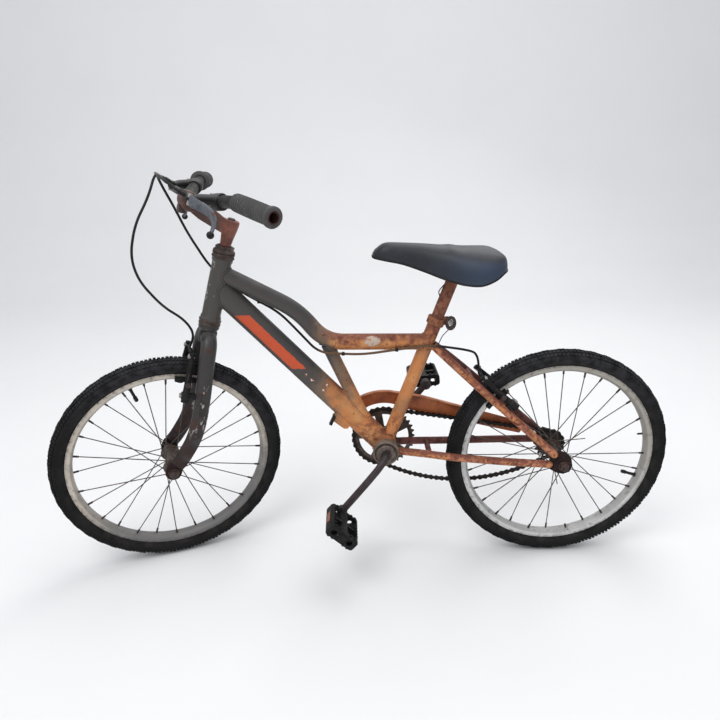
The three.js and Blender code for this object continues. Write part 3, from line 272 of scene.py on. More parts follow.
def frame_paint(name, rusty, stripe=False, patch=False, brown=0.6, fade=0.0, chipped=False, pink=0.0):
    """Paint that fades from charcoal at the head to copper at the rear.

    rusty is the amount of rust spots, brown and pink the strength of those clouds, fade a shift of the
    change to charcoal along X; stripe, patch and chipped add the stripe, a worn patch and a chipped front.
    """
    look = Look(name, COPPER, 0.45, 0.08, 0.4)
    look.mottle(26, 0.42, 0.66, COPPER_PALE)
    look.mottle(13, 0.47, 0.62, BROWN, 0.6, brown, 6)
    if pink:
        look.mottle(38, 0.42, 0.58, PINK, 0.6, pink, 6)
        look.mottle(80, 0.45, 0.58, DARK_RED, 0.7, pink, 6)
    look.layer(look.both(look.upward(0.15, 0.80), look.spots(34, 0.34, 0.52, 6)), MAROON, 0.6, 0.85)
    high = look.step(look.waver(look.axis("Z"), 40, 0.16, 5), *RUSTY_TOP)
    look.layer(high, RUST_TOP, 0.7)
    look.layer(look.both(high, look.spots(110, 0.46, 0.58, 6)), MAROON, 0.8)
    along = look.waver(look.math("SUBTRACT", look.axis("X"), fade), 18, 0.10)
    look.layer(look.step(along, *FADED_RUN), FADED)
    dark = look.step(along, *CHARCOAL_RUN)
    look.layer(dark, CHARCOAL, 0.42)
    shade = look.both(dark, look.upward(0.05, 0.65), look.spots(15, 0.30, 0.56, 5))
    look.layer(shade, CHARCOAL_TOP, 0.6, 0.8)
    if stripe:
        lay_stripe(look)
    near_bracket = look.step(look.waver(look.distance((BB[0], 0, BB[1])), 18, 0.05), *RUSTY_ROUND)
    look.layer(look.both(near_bracket, look.spots(62, 0.44, 0.60, 6)), RUST_LOW, 0.8)
    # Rust shows less on the charcoal paint
    bright = look.math("SUBTRACT", 0.9, look.math("MULTIPLY", dark, 0.75))
    freckles = look.spots(150, 0.70 - rusty * 0.16, 0.74 - rusty * 0.14, 3)
    patches = look.spots(48, 0.72 - rusty * 0.14, 0.80 - rusty * 0.14, 6)
    look.layer(look.both(freckles, bright), RUST, 0.85)
    look.layer(look.both(patches, bright), MAROON, 0.85)
    look.mottle(70, 0.735, 0.76, BARE, 0.5, detail=5, vector=look.stretched((0.45, 1, 1.4), (3, 1, 2)))
    if chipped:
        front = look.step(look.axis("X", look.facing), -0.45, -0.80)
        chips = look.spots(130, 0.585, 0.62, 6, look.stretched((1, 1, 0.6), (4, 2, 9)))
        look.layer(look.both(front, dark, chips), BARE_HEAD, 0.5)
    if patch:
        worn_off = look.step(look.waver(look.distance(PALE_PATCH, (0.75, 1, 1)), 120, 0.016), 0.013, 0.009)
        look.layer(worn_off, WORN_PATCH, 0.6)
        look.layer(look.both(worn_off, look.spots(170, 0.50, 0.60, 6)), WORN_SPOTS, 0.6)
    for x, y, z, size in PAINT_CHIPS if stripe else []:
        near = look.waver(look.distance((x, y, z)), 260, 0.018, 6)
        look.layer(look.step(near, size * 1.6 * MM, size * 0.8 * MM), RUST_PALE, 0.8)
        look.layer(look.step(near, size * 0.7 * MM, size * 0.4 * MM), BARE_CHIP, 0.5)
    height = look.math("SUBTRACT", look.cloud(260, 3), look.math("MULTIPLY", freckles, 0.8))
    return look.finish(height, 0.35, 0.35)


def lay_stripe(look):
    """A plain stripe with slanted, worn ends along the down tube, on both sides."""
    start = Vector((HEAD[0], 0, HEAD[1])) * MM
    run = (Vector((BB[0], 0, BB[1])) * MM - start).normalized()
    across = Vector((run.z, 0, -run.x))
    u = look.math("SUBTRACT", look.along(run), start.dot(run))
    w = look.math("SUBTRACT", look.along(across), start.dot(across))
    u = look.waver(look.math("ADD", u, look.math("MULTIPLY", w, STRIPE_RUN["slant"])), 140, 0.009, 5)
    w = look.waver(w, 140, 0.0045, 5)
    low, high, half, soft = (STRIPE_RUN[key] * MM for key in ("from", "to", "half", "soft"))
    ends = look.both(look.step(u, low, low + soft), look.step(u, high, high - soft))
    band = look.step(look.math("ABSOLUTE", w), half, half - soft)
    side = look.step(look.math("ABSOLUTE", look.axis("Y", look.facing)), 0.35, 0.55)
    look.layer(look.both(ends, band, side), STRIPE, 0.5)


def worn_metal(name, colour, dark, pale, roughness, metallic, rust, scale, specular=0.4):
    """Old metal or paint: a colour with darker and paler clouds, pits, and an amount of rust."""
    look = Look(name, colour, roughness, metallic, specular)
    look.mottle(scale, 0.40, 0.68, dark, min(roughness + 0.15, 1))
    look.mottle(scale * 2.2, 0.60, 0.70, pale, None, 0.7, 5)
    look.mottle(scale * 0.8, 0.70 - rust * 0.25, 0.78 - rust * 0.20, RUST, 0.9, detail=7)
    look.mottle(scale * 4, 0.72 - rust * 0.1, 0.78 - rust * 0.1, RUST_PALE, 0.9, detail=3)
    return look.finish(look.cloud(scale * 5), 0.3, 0.45)


def fork_paint():
    """Near-black paint, rusty at the foot, with pale scuffs where the legs were rubbed."""
    look = Look("fork_paint", (0.040, 0.037, 0.036), 0.42, 0.05, 0.35, STEERING)
    low = look.axis("Z")
    foot = look.both(look.step(low, -0.19, -0.40), look.spots(30, 0.33, 0.52))
    look.layer(foot, (0.030, 0.014, 0.013), 0.75)
    look.mottle(40, 0.52, 0.64, (0.062, 0.032, 0.024), 0.8, detail=6)
    drawn_out = look.stretched((1, 1, 0.5), (7, 2, 4))
    look.mottle(26, 0.54, 0.66, (0.014, 0.011, 0.010), 0.6, detail=6, vector=drawn_out)
    look.mottle(170, 0.63, 0.68, (0.022, 0.015, 0.013), 0.8, detail=3)
    scuffs = look.spots(110, 0.57, 0.64, 7, look.stretched((1, 1, 0.45), (2, 5, 1)))
    rubbed = look.both(look.step(low, -0.17, -0.22), look.step(low, -0.32, -0.27), scuffs)
    look.layer(rubbed, (0.40, 0.37, 0.35), 0.5)
    return look.finish(look.cloud(240, 3), 0.3, 0.35)


def stem_look():
    """Rusty paint, red over the column and dull brown towards the clamp."""
    look = Look("stem_rust", (0.215, 0.074, 0.048), 0.5, 0.05, 0.4, COCKPIT)
    look.mottle(34, 0.42, 0.66, (0.115, 0.042, 0.031), 0.65, detail=6)
    front = look.step(look.waver(look.axis("X"), 60, 0.05, 5), -0.008, -0.034)
    look.layer(front, (0.076, 0.047, 0.040), 0.6, 0.88)
    look.mottle(80, 0.60, 0.70, (0.24, 0.125, 0.095), 0.7, 0.6, 5)
    look.mottle(150, 0.66, 0.72, RUST, 0.9, detail=3)
    return look.finish(look.cloud(240), 0.3, 0.45)


def rubber_look(name, wheel):
    """Old rubber: dust near the rim, a lighter bluish grey over the upper part, fine rings on the wall."""
    look = Look(name, (0.0065, 0.0065, 0.0070), 0.82, 0.0, 0.22, wheel)
    look.mottle(22, 0.40, 0.72, (0.024, 0.022, 0.021), 0.95, 0.5, 5)
    low_wall = look.step(look.radius(), 0.226, 0.214)
    look.layer(look.both(low_wall, look.spots(36, 0.35, 0.65, 5)), (0.030, 0.027, 0.025), 0.95)
    upper = look.both(look.step(look.axis("Z"), 0.04, 0.20), look.spots(48, 0.38, 0.62, 6))
    look.layer(upper, (0.030, 0.030, 0.034), 0.95)
    rings = look.math("SINE", look.math("MULTIPLY", look.radius(), 2600.0))
    inner_edge = look.step(look.radius(), 0.2175, 0.219)
    wall = look.both(inner_edge, look.step(look.radius(), 0.226, 0.2245), rings)
    height = look.math("ADD", look.cloud(420, 3), look.math("MULTIPLY", wall, 0.8))
    return look.finish(height, 0.4, 0.5)


def rim_look(name, wheel, base, shade_and_dirt_side, shade_and_dirt):
    """Dull alloy, darker towards one side: painted shade on the front rim, dirt on the rear; scuffed black
    next to the tyre.
    """
    look = Look(name, base, 0.42, 0.2, 0.45, wheel)
    look.mottle(24, 0.38, 0.66, [c * 0.78 for c in base], 0.55, detail=5)
    # Darker towards one side: painted shade on the front rim's lower side, dirt on the rear rim
    look.layer(look.step(look.waver(look.along(shade_and_dirt_side), 16, 0.24, 5), -0.05, 0.17), shade_and_dirt, 0.6, 0.85)
    look.mottle(70, 0.54, 0.66, (0.20, 0.165, 0.13), 0.75, 0.6, 6)
    look.mottle(160, 0.66, 0.72, (0.20, 0.085, 0.045), 0.85)
    look.layer(look.step(look.radius(), 0.2035, 0.2010), (0.17, 0.16, 0.15), 0.6, 0.45)
    scuffed = look.both(look.step(look.radius(), 0.2075, 0.2100), look.spots(95, 0.46, 0.60, 6))
    look.layer(scuffed, (0.070, 0.064, 0.058), 0.7, 0.55)
    return look.finish(look.cloud(300, 3), 0.15, 0.3)


def vinyl_look():
    """Grained dark vinyl with a painted bluish sheen on the flanks of the tail, and pale scuffs."""
    look = Look("saddle_vinyl", (0.016, 0.017, 0.021), 0.46, 0.0, 0.32)
    look.mottle(16, 0.42, 0.66, (0.022, 0.025, 0.033), 0.52)
    # A painted bluish sheen on the flanks of the tail
    tail = look.both(look.step(look.axis("X"), -0.30, -0.20), look.upward(0.80, 0.40))
    look.layer(tail, (0.030, 0.046, 0.078), 0.5, 0.9)
    look.mottle(90, 0.60, 0.72, (0.055, 0.058, 0.065), 0.66, 0.5, 6)
    grain = look.math("ADD", look.cells(620), look.math("MULTIPLY", look.cloud(120), 0.5))
    return look.finish(grain, 0.25, 0.35)


DUSTY = (0.036, 0.033, 0.031)
DUST_BROWN = (0.15, 0.085, 0.050)


def plastic_look(name, colour, roughness, dust, dusty=DUSTY, dusty_run=None, dusty_top=None):
    """Plastic with dust in clouds.

    dusty_run is where along X the dust lies thick, dusty_top the dust's colour on what faces up.
    """
    look = Look(name, colour, roughness, 0.0, 0.22)
    look.mottle(45, 0.45, 0.75, dusty, min(roughness + 0.25, 1), dust, 6)
    if dusty_run:
        low, high = dusty_run
        x = look.axis("X")
        run = look.both(look.step(x, low - 0.02, low), look.step(x, high, high - 0.03))
        look.layer(run, DUST_BROWN, 0.85, 0.85)
    if dusty_top:
        look.layer(look.upward(0.25, 0.80), dusty_top, 0.8, 0.85)
    look.mottle(210, 0.69, 0.74, [c * 3.5 for c in dusty], 0.7, detail=3)
    return look.finish(look.cloud(520, 2), 0.12, 0.35)


def reflector_look():
    look = Look("reflector_plastic", (0.21, 0.052, 0.016), 0.25)
    look.mottle(60, 0.50, 0.72, (0.12, 0.035, 0.016), 0.6, detail=5)
    return look.finish(look.cells(420), 0.5, 0.7)


# Worn metals and paints: colour, dark clouds, pale clouds, roughness, metallic, rust, size of clouds
WORN = {
    # Darker paint for the far stays and the bridges: painted shade, with some grime
    "shaded_far_paint": [(0.125, 0.038, 0.029), (0.050, 0.020, 0.016), (0.22, 0.08, 0.05), 0.6, 0.1, 0.3, 60],
    "bore": [(0.075, 0.028, 0.022), (0.030, 0.015, 0.013), (0.16, 0.06, 0.04), 0.7, 0.1, 0.3, 60],
    "collar": [(0.27, 0.100, 0.046), (0.075, 0.032, 0.023), (0.46, 0.19, 0.075), 0.75, 0.05, 0.48, 115],
    "guard_paint": [(0.40, 0.112, 0.034), (0.20, 0.054, 0.024), (0.50, 0.16, 0.054), 0.45, 0.1, 0.22, 20],
    # The guard's lip is paler than the guard: a painted highlight along its rolled top edge
    "guard_edge": [(0.46, 0.17, 0.075), (0.28, 0.085, 0.036), (0.58, 0.27, 0.14), 0.5, 0.1, 0.20, 40],
    "rust": [(0.245, 0.092, 0.050), (0.11, 0.042, 0.029), (0.42, 0.22, 0.13), 0.75, 0.05, 0.42, 75],
    "headset": [(0.072, 0.050, 0.042), (0.034, 0.024, 0.020), (0.17, 0.13, 0.105), 0.5, 0.25, 0.2, 80],
    "maroon": [(0.022, 0.011, 0.01), (0.012, 0.007, 0.007), (0.055, 0.024, 0.019), 0.7, 0.1, 0.15, 70, 0.25],
    "axle_nut": [(0.085, 0.050, 0.040), (0.038, 0.024, 0.020), (0.17, 0.12, 0.10), 0.55, 0.2, 0.25, 90],
    "steel": [(0.050, 0.036, 0.033), (0.025, 0.018, 0.016), (0.12, 0.098, 0.088), 0.5, 0.3, 0.22, 80],
    "crank": [(0.048, 0.034, 0.036), (0.026, 0.019, 0.020), (0.10, 0.075, 0.070), 0.5, 0.2, 0.18, 70],
    "ring": [(0.090, 0.070, 0.057), (0.042, 0.032, 0.027), (0.19, 0.15, 0.125), 0.5, 0.3, 0.20, 70],
    "hub": [(0.115, 0.090, 0.074), (0.055, 0.042, 0.035), (0.22, 0.185, 0.155), 0.5, 0.25, 0.25, 80],
    "rear_hub": [(0.065, 0.036, 0.026), (0.030, 0.018, 0.014), (0.13, 0.085, 0.062), 0.6, 0.2, 0.35, 80],
    "chain": [(0.022, 0.016, 0.014), (0.011, 0.009, 0.008), (0.06, 0.042, 0.032), 0.6, 0.3, 0.18, 130, 0.3],
    "spoke": [(0.105, 0.092, 0.082), (0.060, 0.045, 0.038), (0.22, 0.20, 0.18), 0.5, 0.5, 0.25, 60],
    "zinc": [(0.36, 0.34, 0.32), (0.19, 0.16, 0.14), (0.52, 0.50, 0.47), 0.42, 0.5, 0.20, 120],
    "shell_grey": [(0.20, 0.150, 0.112), (0.10, 0.074, 0.056), (0.32, 0.26, 0.21), 0.55, 0.15, 0.25, 60],
    "bearing_grey": [(0.15, 0.115, 0.094), (0.070, 0.053, 0.043), (0.26, 0.22, 0.19), 0.5, 0.3, 0.25, 90],
    "bar": [(0.030, 0.029, 0.028), (0.017, 0.016, 0.015), (0.13, 0.12, 0.115), 0.55, 0.1, 0.16, 50, 0.3],
    "lever": [(0.105, 0.113, 0.128), (0.060, 0.064, 0.074), (0.20, 0.21, 0.225), 0.45, 0.2, 0.06, 70],
}
DARK_PLASTIC = (0.0075, 0.0072, 0.0072)
BRACKET_BLACK = (0.012, 0.011, 0.011)
CASING_BLACK = (0.0085, 0.008, 0.008)
LOOKS = {
    "frame_paint": frame_paint("frame_paint", 0.36, chipped=True),
    "top_tube_paint": frame_paint("top_tube_paint", 0.62, patch=True, brown=0.9),
    "down_tube_paint": frame_paint("down_tube_paint", 0.34, stripe=True, brown=0.75),
    "strut_paint": frame_paint("strut_paint", 0.40, brown=0.95, fade=0.035),
    "stay_paint": frame_paint("stay_paint", 0.86, brown=0.7, pink=0.75),
    "fork_paint": fork_paint(),
    "stem_rust": stem_look(),
    "vinyl": vinyl_look(),
    "grip": plastic_look("grip_rubber", (0.072, 0.070, 0.069), 0.8, 0.8, (0.130, 0.125, 0.121)),
    "bracket": plastic_look("bracket_metal", BRACKET_BLACK, 0.5, 0.4, dusty_top=(0.095, 0.093, 0.092)),
    "pedal": plastic_look("pedal_plastic", (0.0042, 0.0040, 0.0040), 0.5, 0.25),
    "plastic": plastic_look("black_plastic", DARK_PLASTIC, 0.5, 0.4),
    "casing": plastic_look("cable_casing", CASING_BLACK, 0.45, 0.4),
    "rear_casing": plastic_look("rear_cable_casing", CASING_BLACK, 0.45, 0.4, dusty_run=(-0.51, -0.265)),
    "reflector": reflector_look(),
}
# Tyres and rims: wheel's name, its place, rim's base colour, the side its rim darkens towards, colour of
# that darkening (painted shade low on the front rim, dirt towards the top rear on the rear one)
for wheel_name, wheel, base, shade_and_dirt_side, shade_and_dirt in [
    ("front", FRONT_WHEEL, (0.60, 0.54, 0.46), (0.50, 0, -0.85), (0.105, 0.110, 0.122)),
    ("rear", REAR_WHEEL, (0.63, 0.63, 0.62), (0.55, 0, 0.85), (0.36, 0.33, 0.28)),
]:
    LOOKS[wheel_name + "_rubber"] = rubber_look(wheel_name + "_tyre_rubber", wheel)
    LOOKS[wheel_name + "_rim"] = rim_look(wheel_name + "_rim_metal", wheel, base, shade_and_dirt_side, shade_and_dirt)
for worn_name, worn in WORN.items():
    LOOKS[worn_name] = worn_metal(worn_name, *worn)


# Shapes: each gives points in millimetres and faces

def loft(rings, loop=False, caps=True, closed=True):
    """A skin over rings of points; loop joins the last ring to the first, closed joins each ring's ends."""
    sides = len(rings[0])
    points = [Vector(p) for ring in rings for p in ring]
    faces = []
    for i in range(len(rings) if loop else len(rings) - 1):
        near, far = i * sides, (i + 1) % len(rings) * sides
        for k in range(sides if closed else sides - 1):
            after = (k + 1) % sides
            faces.append((near + k, near + after, far + after, far + k))
    if caps and not loop:
        last = (len(rings) - 1) * sides
        faces.append(tuple(range(sides)))
        faces.append(tuple(range(last, last + sides)))
    return points, faces


def bent(corners, reach, steps=8):
    """Points along straight runs with round bends of the given length either side of each corner."""
    corners = [Vector(c) for c in corners]
    points = [corners[0]]
    for a, b, c in zip(corners, corners[1:], corners[2:]):
        start = b.lerp(a, min(reach / (a - b).length, 0.48))
        end = b.lerp(c, min(reach / (c - b).length, 0.48))
        for k in range(steps + 1):
            t = k / steps
            points.append(start.lerp(b, t).lerp(b.lerp(end, t), t))
    points.append(corners[-1])
    return points


def oval(a, b, sides):
    angles = [2 * math.pi * k / sides for k in range(sides)]
    return [(a * math.cos(angle), b * math.sin(angle)) for angle in angles]


def square_to(run, side=None):
    """Two directions square to a run, the first as near to side as it can be."""
    if side is None:
        side = Vector((0, 0, 1)) if abs(run.y) > 0.8 else Vector((0, 1, 0))
    side = (side - run * side.dot(run)).normalized()
    return side, run.cross(side)


def sweep(points, section, loop=False, caps=True):
    """A bar along points; section(t) is its outline square to the run."""
    points = [Vector(p) for p in points]
    count = len(points)
    side = None
    rings = []
    for i, point in enumerate(points):
        before = points[i - 1] if loop or i else point
        after = points[(i + 1) % count] if loop or i < count - 1 else point
        side, up = square_to((after - before).normalized(), side)
        rings.append([point + side * a + up * b for a, b in section(i / max(count - 1, 1))])
    return loft(rings, loop, caps)


def tube(points, r, sides=28, loop=False):
    return sweep(points, lambda t: oval(r, r, sides), loop)


def ridged(start, end, profile, sides=32):
    """A turned bar from start to end; profile pairs are share of the length and radius."""
    start, end = Vector(start), Vector(end)
    side, up = square_to((end - start).normalized())
    rings = []
    for share, r in profile:
        point = start.lerp(end, share)
        rings.append([point + side * a + up * b for a, b in oval(r, r, sides)])
    return loft(rings)


def turned(profile, sides=48, axis="Y", loop=False):
    """A piece turned about an axis; profile pairs are radius and place along the axis."""
    rings = []
    for c, s in oval(1, 1, sides):
        if axis == "Y":
            rings.append([(r * c, at, r * s) for r, at in profile])
        else:
            rings.append([(r * c, r * s, at) for r, at in profile])
    return loft(rings, True, closed=loop)


def ring_profile(half):
    return [*half, *[(r, -y) for r, y in reversed(half)]]


def plate(outline, y0, y1, holes=()):
    """A flat outline of x, z points with holes, standing from y0 to y1."""
    loops = [list(outline), *[list(hole) for hole in holes]]
    corners = [p for loop in loops for p in loop]
    count = len(corners)
    points = [Vector((x, y, z)) for y in (y0, y1) for x, z in corners]
    faces = []
    for tri in geometry.tessellate_polygon([[Vector((x, z, 0)) for x, z in loop] for loop in loops]):
        faces.append(tuple(tri))
        faces.append(tuple(count + i for i in reversed(tri)))
    first = 0
    for loop in loops:
        for k in range(len(loop)):
            a, b = first + k, first + (k + 1) % len(loop)
            faces.append((a, b, count + b, count + a))
        first += len(loop)
    return points, faces


def box(x0, x1, y0, y1, z0, z1):
    return plate([(x0, z0), (x1, z0), (x1, z1), (x0, z1)], y0, y1)


def circle(x, z, r, sides=28):
    return [(x + a, z + b) for a, b in oval(r, r, sides)]


def arc(x, z, r, start, end, steps):
    angles = [start + (end - start) * i / steps for i in range(steps + 1)]
    return [(x + r * math.cos(a), z + r * math.sin(a)) for a in angles]


def ball(centre, r, squash=1.0, sides=20):
    angles = [math.pi * k / 12 for k in range(13)]
    profile = [(r * math.sin(angle), -r * squash * math.cos(angle)) for angle in angles]
    return shifted(turned(profile, sides), centre)


def shifted(shape, by):
    points, faces = shape
    return [p + Vector(by) for p in points], faces


def placed(shape, matrix):
    """A shape turned and moved by a matrix whose move is in metres."""
    points, faces = shape
    scale = Matrix.Scale(MM, 4)
    whole = scale.inverted() @ matrix @ scale
    return [whole @ p for p in points], faces


def hex_nut(start, end, r):
    """A six-sided nut or bolt head with eased corners."""
    return ridged(start, end, [(0, r * 0.86), (0.12, r), (0.88, r), (1, r * 0.86)], 6)


def eased_bar(start, end, r, eased, share, sides):
    """A round bar whose ends ease to a smaller radius over a share of its length."""
    return ridged(start, end, [(0, eased), (share, r), (1 - share, r), (1, eased)], sides)


def smooth_rows(rows, steps):
    """Rows of numbers made finer along a smooth curve through them."""
    fine = []
    for i in range(len(rows) - 1):
        p0, p1, p2, p3 = (rows[max(0, min(len(rows) - 1, i + k))] for k in (-1, 0, 1, 2))
        for k in range(steps):
            t = k / steps
            row = []
            for a, b, c, d in zip(p0, p1, p2, p3):
                curve = (2 * a - 5 * b + 4 * c - d) * t * t + (3 * b - a - 3 * c + d) * t ** 3
                row.append(0.5 * (2 * b + (c - a) * t + curve))
            fine.append(tuple(row))
    return [*fine, rows[-1]]


def flat(points):
    return [Vector((x, 0, z)) for x, z in points]


def mirrored(points, side):
    return [Vector((x, y * side, z)) for x, y, z in points]


WELD = 0.02


def piece(name, shapes, carrier, look, replaces=(), bevel=0.0, smooth=38, weld=True):
    """One object from shapes, each a shape or a (shape, look) pair; its carrier is a place and a body."""
    place, body = carrier
    mesh = bpy.data.meshes.new(name)
    looks = [look]
    points, faces, marks = [], [], []
    swing = place.to_3x3()
    for item in shapes:
        shape, own = item if isinstance(item[1], str) else (item, look)
        if own not in looks:
            looks.append(own)
        base = len(points)
        points.extend(swing @ (p * MM) for p in shape[0])
        faces.extend(tuple(base + i for i in face) for face in shape[1])
        marks.extend([looks.index(own)] * len(shape[1]))
    mesh.from_pydata(points, [], faces)
    for polygon, mark in zip(mesh.polygons, marks):
        polygon.material_index = mark
    work = bmesh.new()
    work.from_mesh(mesh)
    if weld:
        bmesh.ops.remove_doubles(work, verts=work.verts, dist=WELD * MM)
    bmesh.ops.recalc_face_normals(work, faces=work.faces)
    work.to_mesh(mesh)
    work.free()
    for key in looks:
        mesh.materials.append(LOOKS[key])
    mesh.shade_smooth()
    mesh.set_sharp_from_angle(angle=math.radians(smooth))
    made = add_object(name, mesh)
    made.matrix_world = Matrix.Translation(place.translation)
    if bevel:
        edge = made.modifiers.new("eased_edges", "BEVEL")
        edge.width = bevel * MM
        edge.segments = 2
        edge.limit_method = "ANGLE"
        edge.angle_limit = math.radians(40)
        edge.harden_normals = True
    if body:
        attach(made, body)
    if replaces:
        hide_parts(replaces)
    return made


def add_object(name, data):
    made = bpy.data.objects.new(name, data)
    bpy.context.scene.collection.objects.link(made)
    return made


# Wheels

# Half sections, from the tyre's bead and the rim's bed: radius, place across
TYRE_HALF = [
    (203.4, 10.9), (213, 11.2), (215.5, 14.5), (218.4, 18.4), (219.2, 19.9), (220.2, 20.0), (223, 21.0),
    (226.5, 21.6), (230, 21.4), (233.0, 19.8), (236.2, 16.2), (238.8, 11.6), (240.6, 6.2), (241.2, 0.01),
]
RIM_HALF = [
    (197, 0.01), (197.3, 5), (198.6, 8.2), (200.6, 11.2), (202.4, 12.7), (204, 13), (211, 13), (212, 12.7),
    (212.2, 12.2), (211.9, 11.5), (211, 11.4), (203.4, 11.4), (202, 10), (201.2, 6), (201, 0.01),
]
WHEEL_SIDES = 144
LUGS_ROUND = 45
LUG_SINK = 1.2
LUG_TOP = 0.84
# Rows of tread blocks on each side: place across, radius of the foot, lean in degrees, length, width
LUG_ROWS = [(5.6, 240.5, 10, 6.4, 8.4), (14.4, 237.2, 33, 6.4, 7.4), (20.5, 231.4, 66, 5.6, 4.6)]
HIGH_LUGS = (3.2, 3.0, 1.5)
LOW_LUGS = (2.5, 2.3, 1.1)
# Blocks in one pitch: place round the tyre as a share of the pitch, height for each row
LUG_STEPS = [(0.60, HIGH_LUGS), (0.84, HIGH_LUGS), (0.10, LOW_LUGS), (0.35, LOW_LUGS)]
FLANGE = {"r": 20, "y": 29, "half": 1.6, "hole_r": 17}
SPOKE = {"r": 1.1, "end_r": 197, "end_y": 4, "weave": 1.5, "head": 2.1, "crosses": 2}
NIPPLE = {"length": 11, "profile": [(0, 1.5), (0.1, 2.1), (1, 2.31)]}
VALVE = {"r": 3.4, "from": 196, "to": 163}
# Wheels: name, carrier, hub's ends, broken spokes and what is left of them, valve's angle
WHEELS = [
    ("front", ON_FRONT_WHEEL, (-44.5, 44.5), {}, 124),
    ("rear", ON_REAR_WHEEL, (-46, 38), {5: 0.35, 18: 0.3}, -17),
]


def lug(row, height, side, share):
    """One block of the tread, narrower at its top; share is its place round the tyre."""
    across, foot, lean, length, width = row
    lean = math.radians(lean)
    out = (math.cos(lean), math.sin(lean))
    over = (-math.sin(lean), math.cos(lean))
    angle = math.pi / 2 - 2 * math.pi * share
    radial = Vector((math.cos(angle), 0, math.sin(angle)))
    tangent = Vector((-math.sin(angle), 0, math.cos(angle)))
    points = []
    for level, narrow in ((-LUG_SINK, 1.0), (height, LUG_TOP)):
        for a, b in ((-1, -1), (1, -1), (1, 1), (-1, 1)):
            half = b * width / 2 * narrow
            r = foot + out[0] * level + over[0] * half
            y = side * (across + out[1] * level + over[1] * half)
            points.append(radial * r + tangent * (a * length / 2 * narrow) + Vector((0, y, 0)))
    return points, [(4, 5, 6, 7), (0, 1, 5, 4), (1, 2, 6, 5), (2, 3, 7, 6), (3, 0, 4, 7)]


def tread():
    """Blocks all round; the two sides are staggered."""
    blocks = []
    for count in range(LUGS_ROUND):
        for side, _ in SIDES:
            for step, heights in LUG_STEPS:
                share = (count + (step if side > 0 else 1 - step)) / LUGS_ROUND
                blocks += [lug(row, height, side, share) for row, height in zip(LUG_ROWS, heights)]
    return blocks


def at_angle(r, angle, y=0):
    return Vector((r * math.cos(angle), y, r * math.sin(angle)))


def spokes(broken):
    """Crossed spokes with their heads and nipples; a broken one keeps a share of its length."""
    shapes = []
    per_side = SPOKES // 2
    for i in range(SPOKES):
        side = 1 if i % 2 else -1
        hole = i // 2 + (0.5 if side > 0 else 0)
        lean = 1 if (i // 2) % 2 else -1
        start_angle = 2 * math.pi * hole / per_side
        end_angle = 2 * math.pi * (hole + lean * SPOKE["crosses"]) / per_side
        start = at_angle(FLANGE["hole_r"], start_angle, side * FLANGE["y"] + lean * SPOKE["weave"])
        end = at_angle(SPOKE["end_r"], end_angle, side * SPOKE["end_y"])
        shapes.append((tube([start, start.lerp(end, broken.get(i, 1))], SPOKE["r"], 8), "spoke"))
        shapes.append((ball(start + Vector((0, lean * 1.2, 0)), SPOKE["head"], 0.7, 8), "spoke"))
        foot = end.lerp(start, NIPPLE["length"] / (end - start).length)
        shapes.append((ridged(foot, end, NIPPLE["profile"], 8), "steel"))
    return shapes


def hub(ends):
    r, y, half = FLANGE["r"], FLANGE["y"], FLANGE["half"]
    # Outwards from a flange's inner side: radius, distance from the flange's middle
    inner = [(10.5, -11), (11.2, -6), (13.5, -3), (r - 0.6, -half), (r, -half + 0.6)]
    outer = [(r, half - 0.6), (r - 0.6, half), (14, 3.4), (13, 6)]
    right = [(a, y + b) for a, b in [*inner, *outer]]
    left = [(a, -b) for a, b in reversed(right)]
    low, high = ends
    start = [(6.4, low), (11.5, low), (12.8, low + 1.2)]
    return turned([*start, *left, *right, (12.8, high - 1.2), (11.5, high), (6.4, high)], 48)


def valve(angle):
    direction = at_angle(1, math.radians(angle))
    r = VALVE["r"]
    profile = [(0, r * 1.5), (0.12, r), (0.66, r * 0.9), (0.68, r * 1.25), (0.95, r * 1.2), (1, r * 0.8)]
    return ridged(direction * VALVE["from"], direction * VALVE["to"], profile, 16)


for name, carrier, ends, broken, valve_angle in WHEELS:
    tyre_shapes = [turned(ring_profile(TYRE_HALF), WHEEL_SIDES, loop=True), *tread()]
    piece(name + "_tyre_tread", tyre_shapes, carrier, name + "_rubber", name + "_tyre", weld=False)
    rim_shapes = [turned(ring_profile(RIM_HALF), WHEEL_SIDES, loop=True), (valve(valve_angle), "plastic")]
    piece(name + "_rim_and_valve", rim_shapes, carrier, name + "_rim", name + "_rim", smooth=30)
    hub_shapes = [(hub(ends), "hub" if name == "front" else "rear_hub"), *spokes(broken)]
    piece(name + "_hub_spokes", hub_shapes, carrier, "spoke", name + "_hub_and_spokes")


# Axles, fixed in the fork and frame

AXLE_R = 4.75
AXLE_MIDDLE_R = 5.9
AXLE_NUT_R = 9.6
THREAD_PITCH = 1.5
DROPOUT = {"front": 50, "rear": 55, "thick": 5, "hole_r": 5.4}
# Along the axle from the dropout's outer face: washer's end, nut's end, start of the bare thread
NUT_STACK = (1.8, 9, 8)
CONE = [(0, 7.6), (0.15, 8.5), (0.85, 8.5), (1, 7.6)]
WASHER = [(0, 11), (0.3, 11.4), (0.8, 11.4), (1, 11)]


def threaded(start, end, r):
    turns = int((Vector(end) - Vector(start)).length / THREAD_PITCH)
    profile = []
    for k in range(turns):
        profile += [((k + 0.1) / turns, r * 0.90), ((k + 0.5) / turns, r)]
    return ridged(start, end, [(0, r * 0.8), *profile, (1, r * 0.75)], 20)


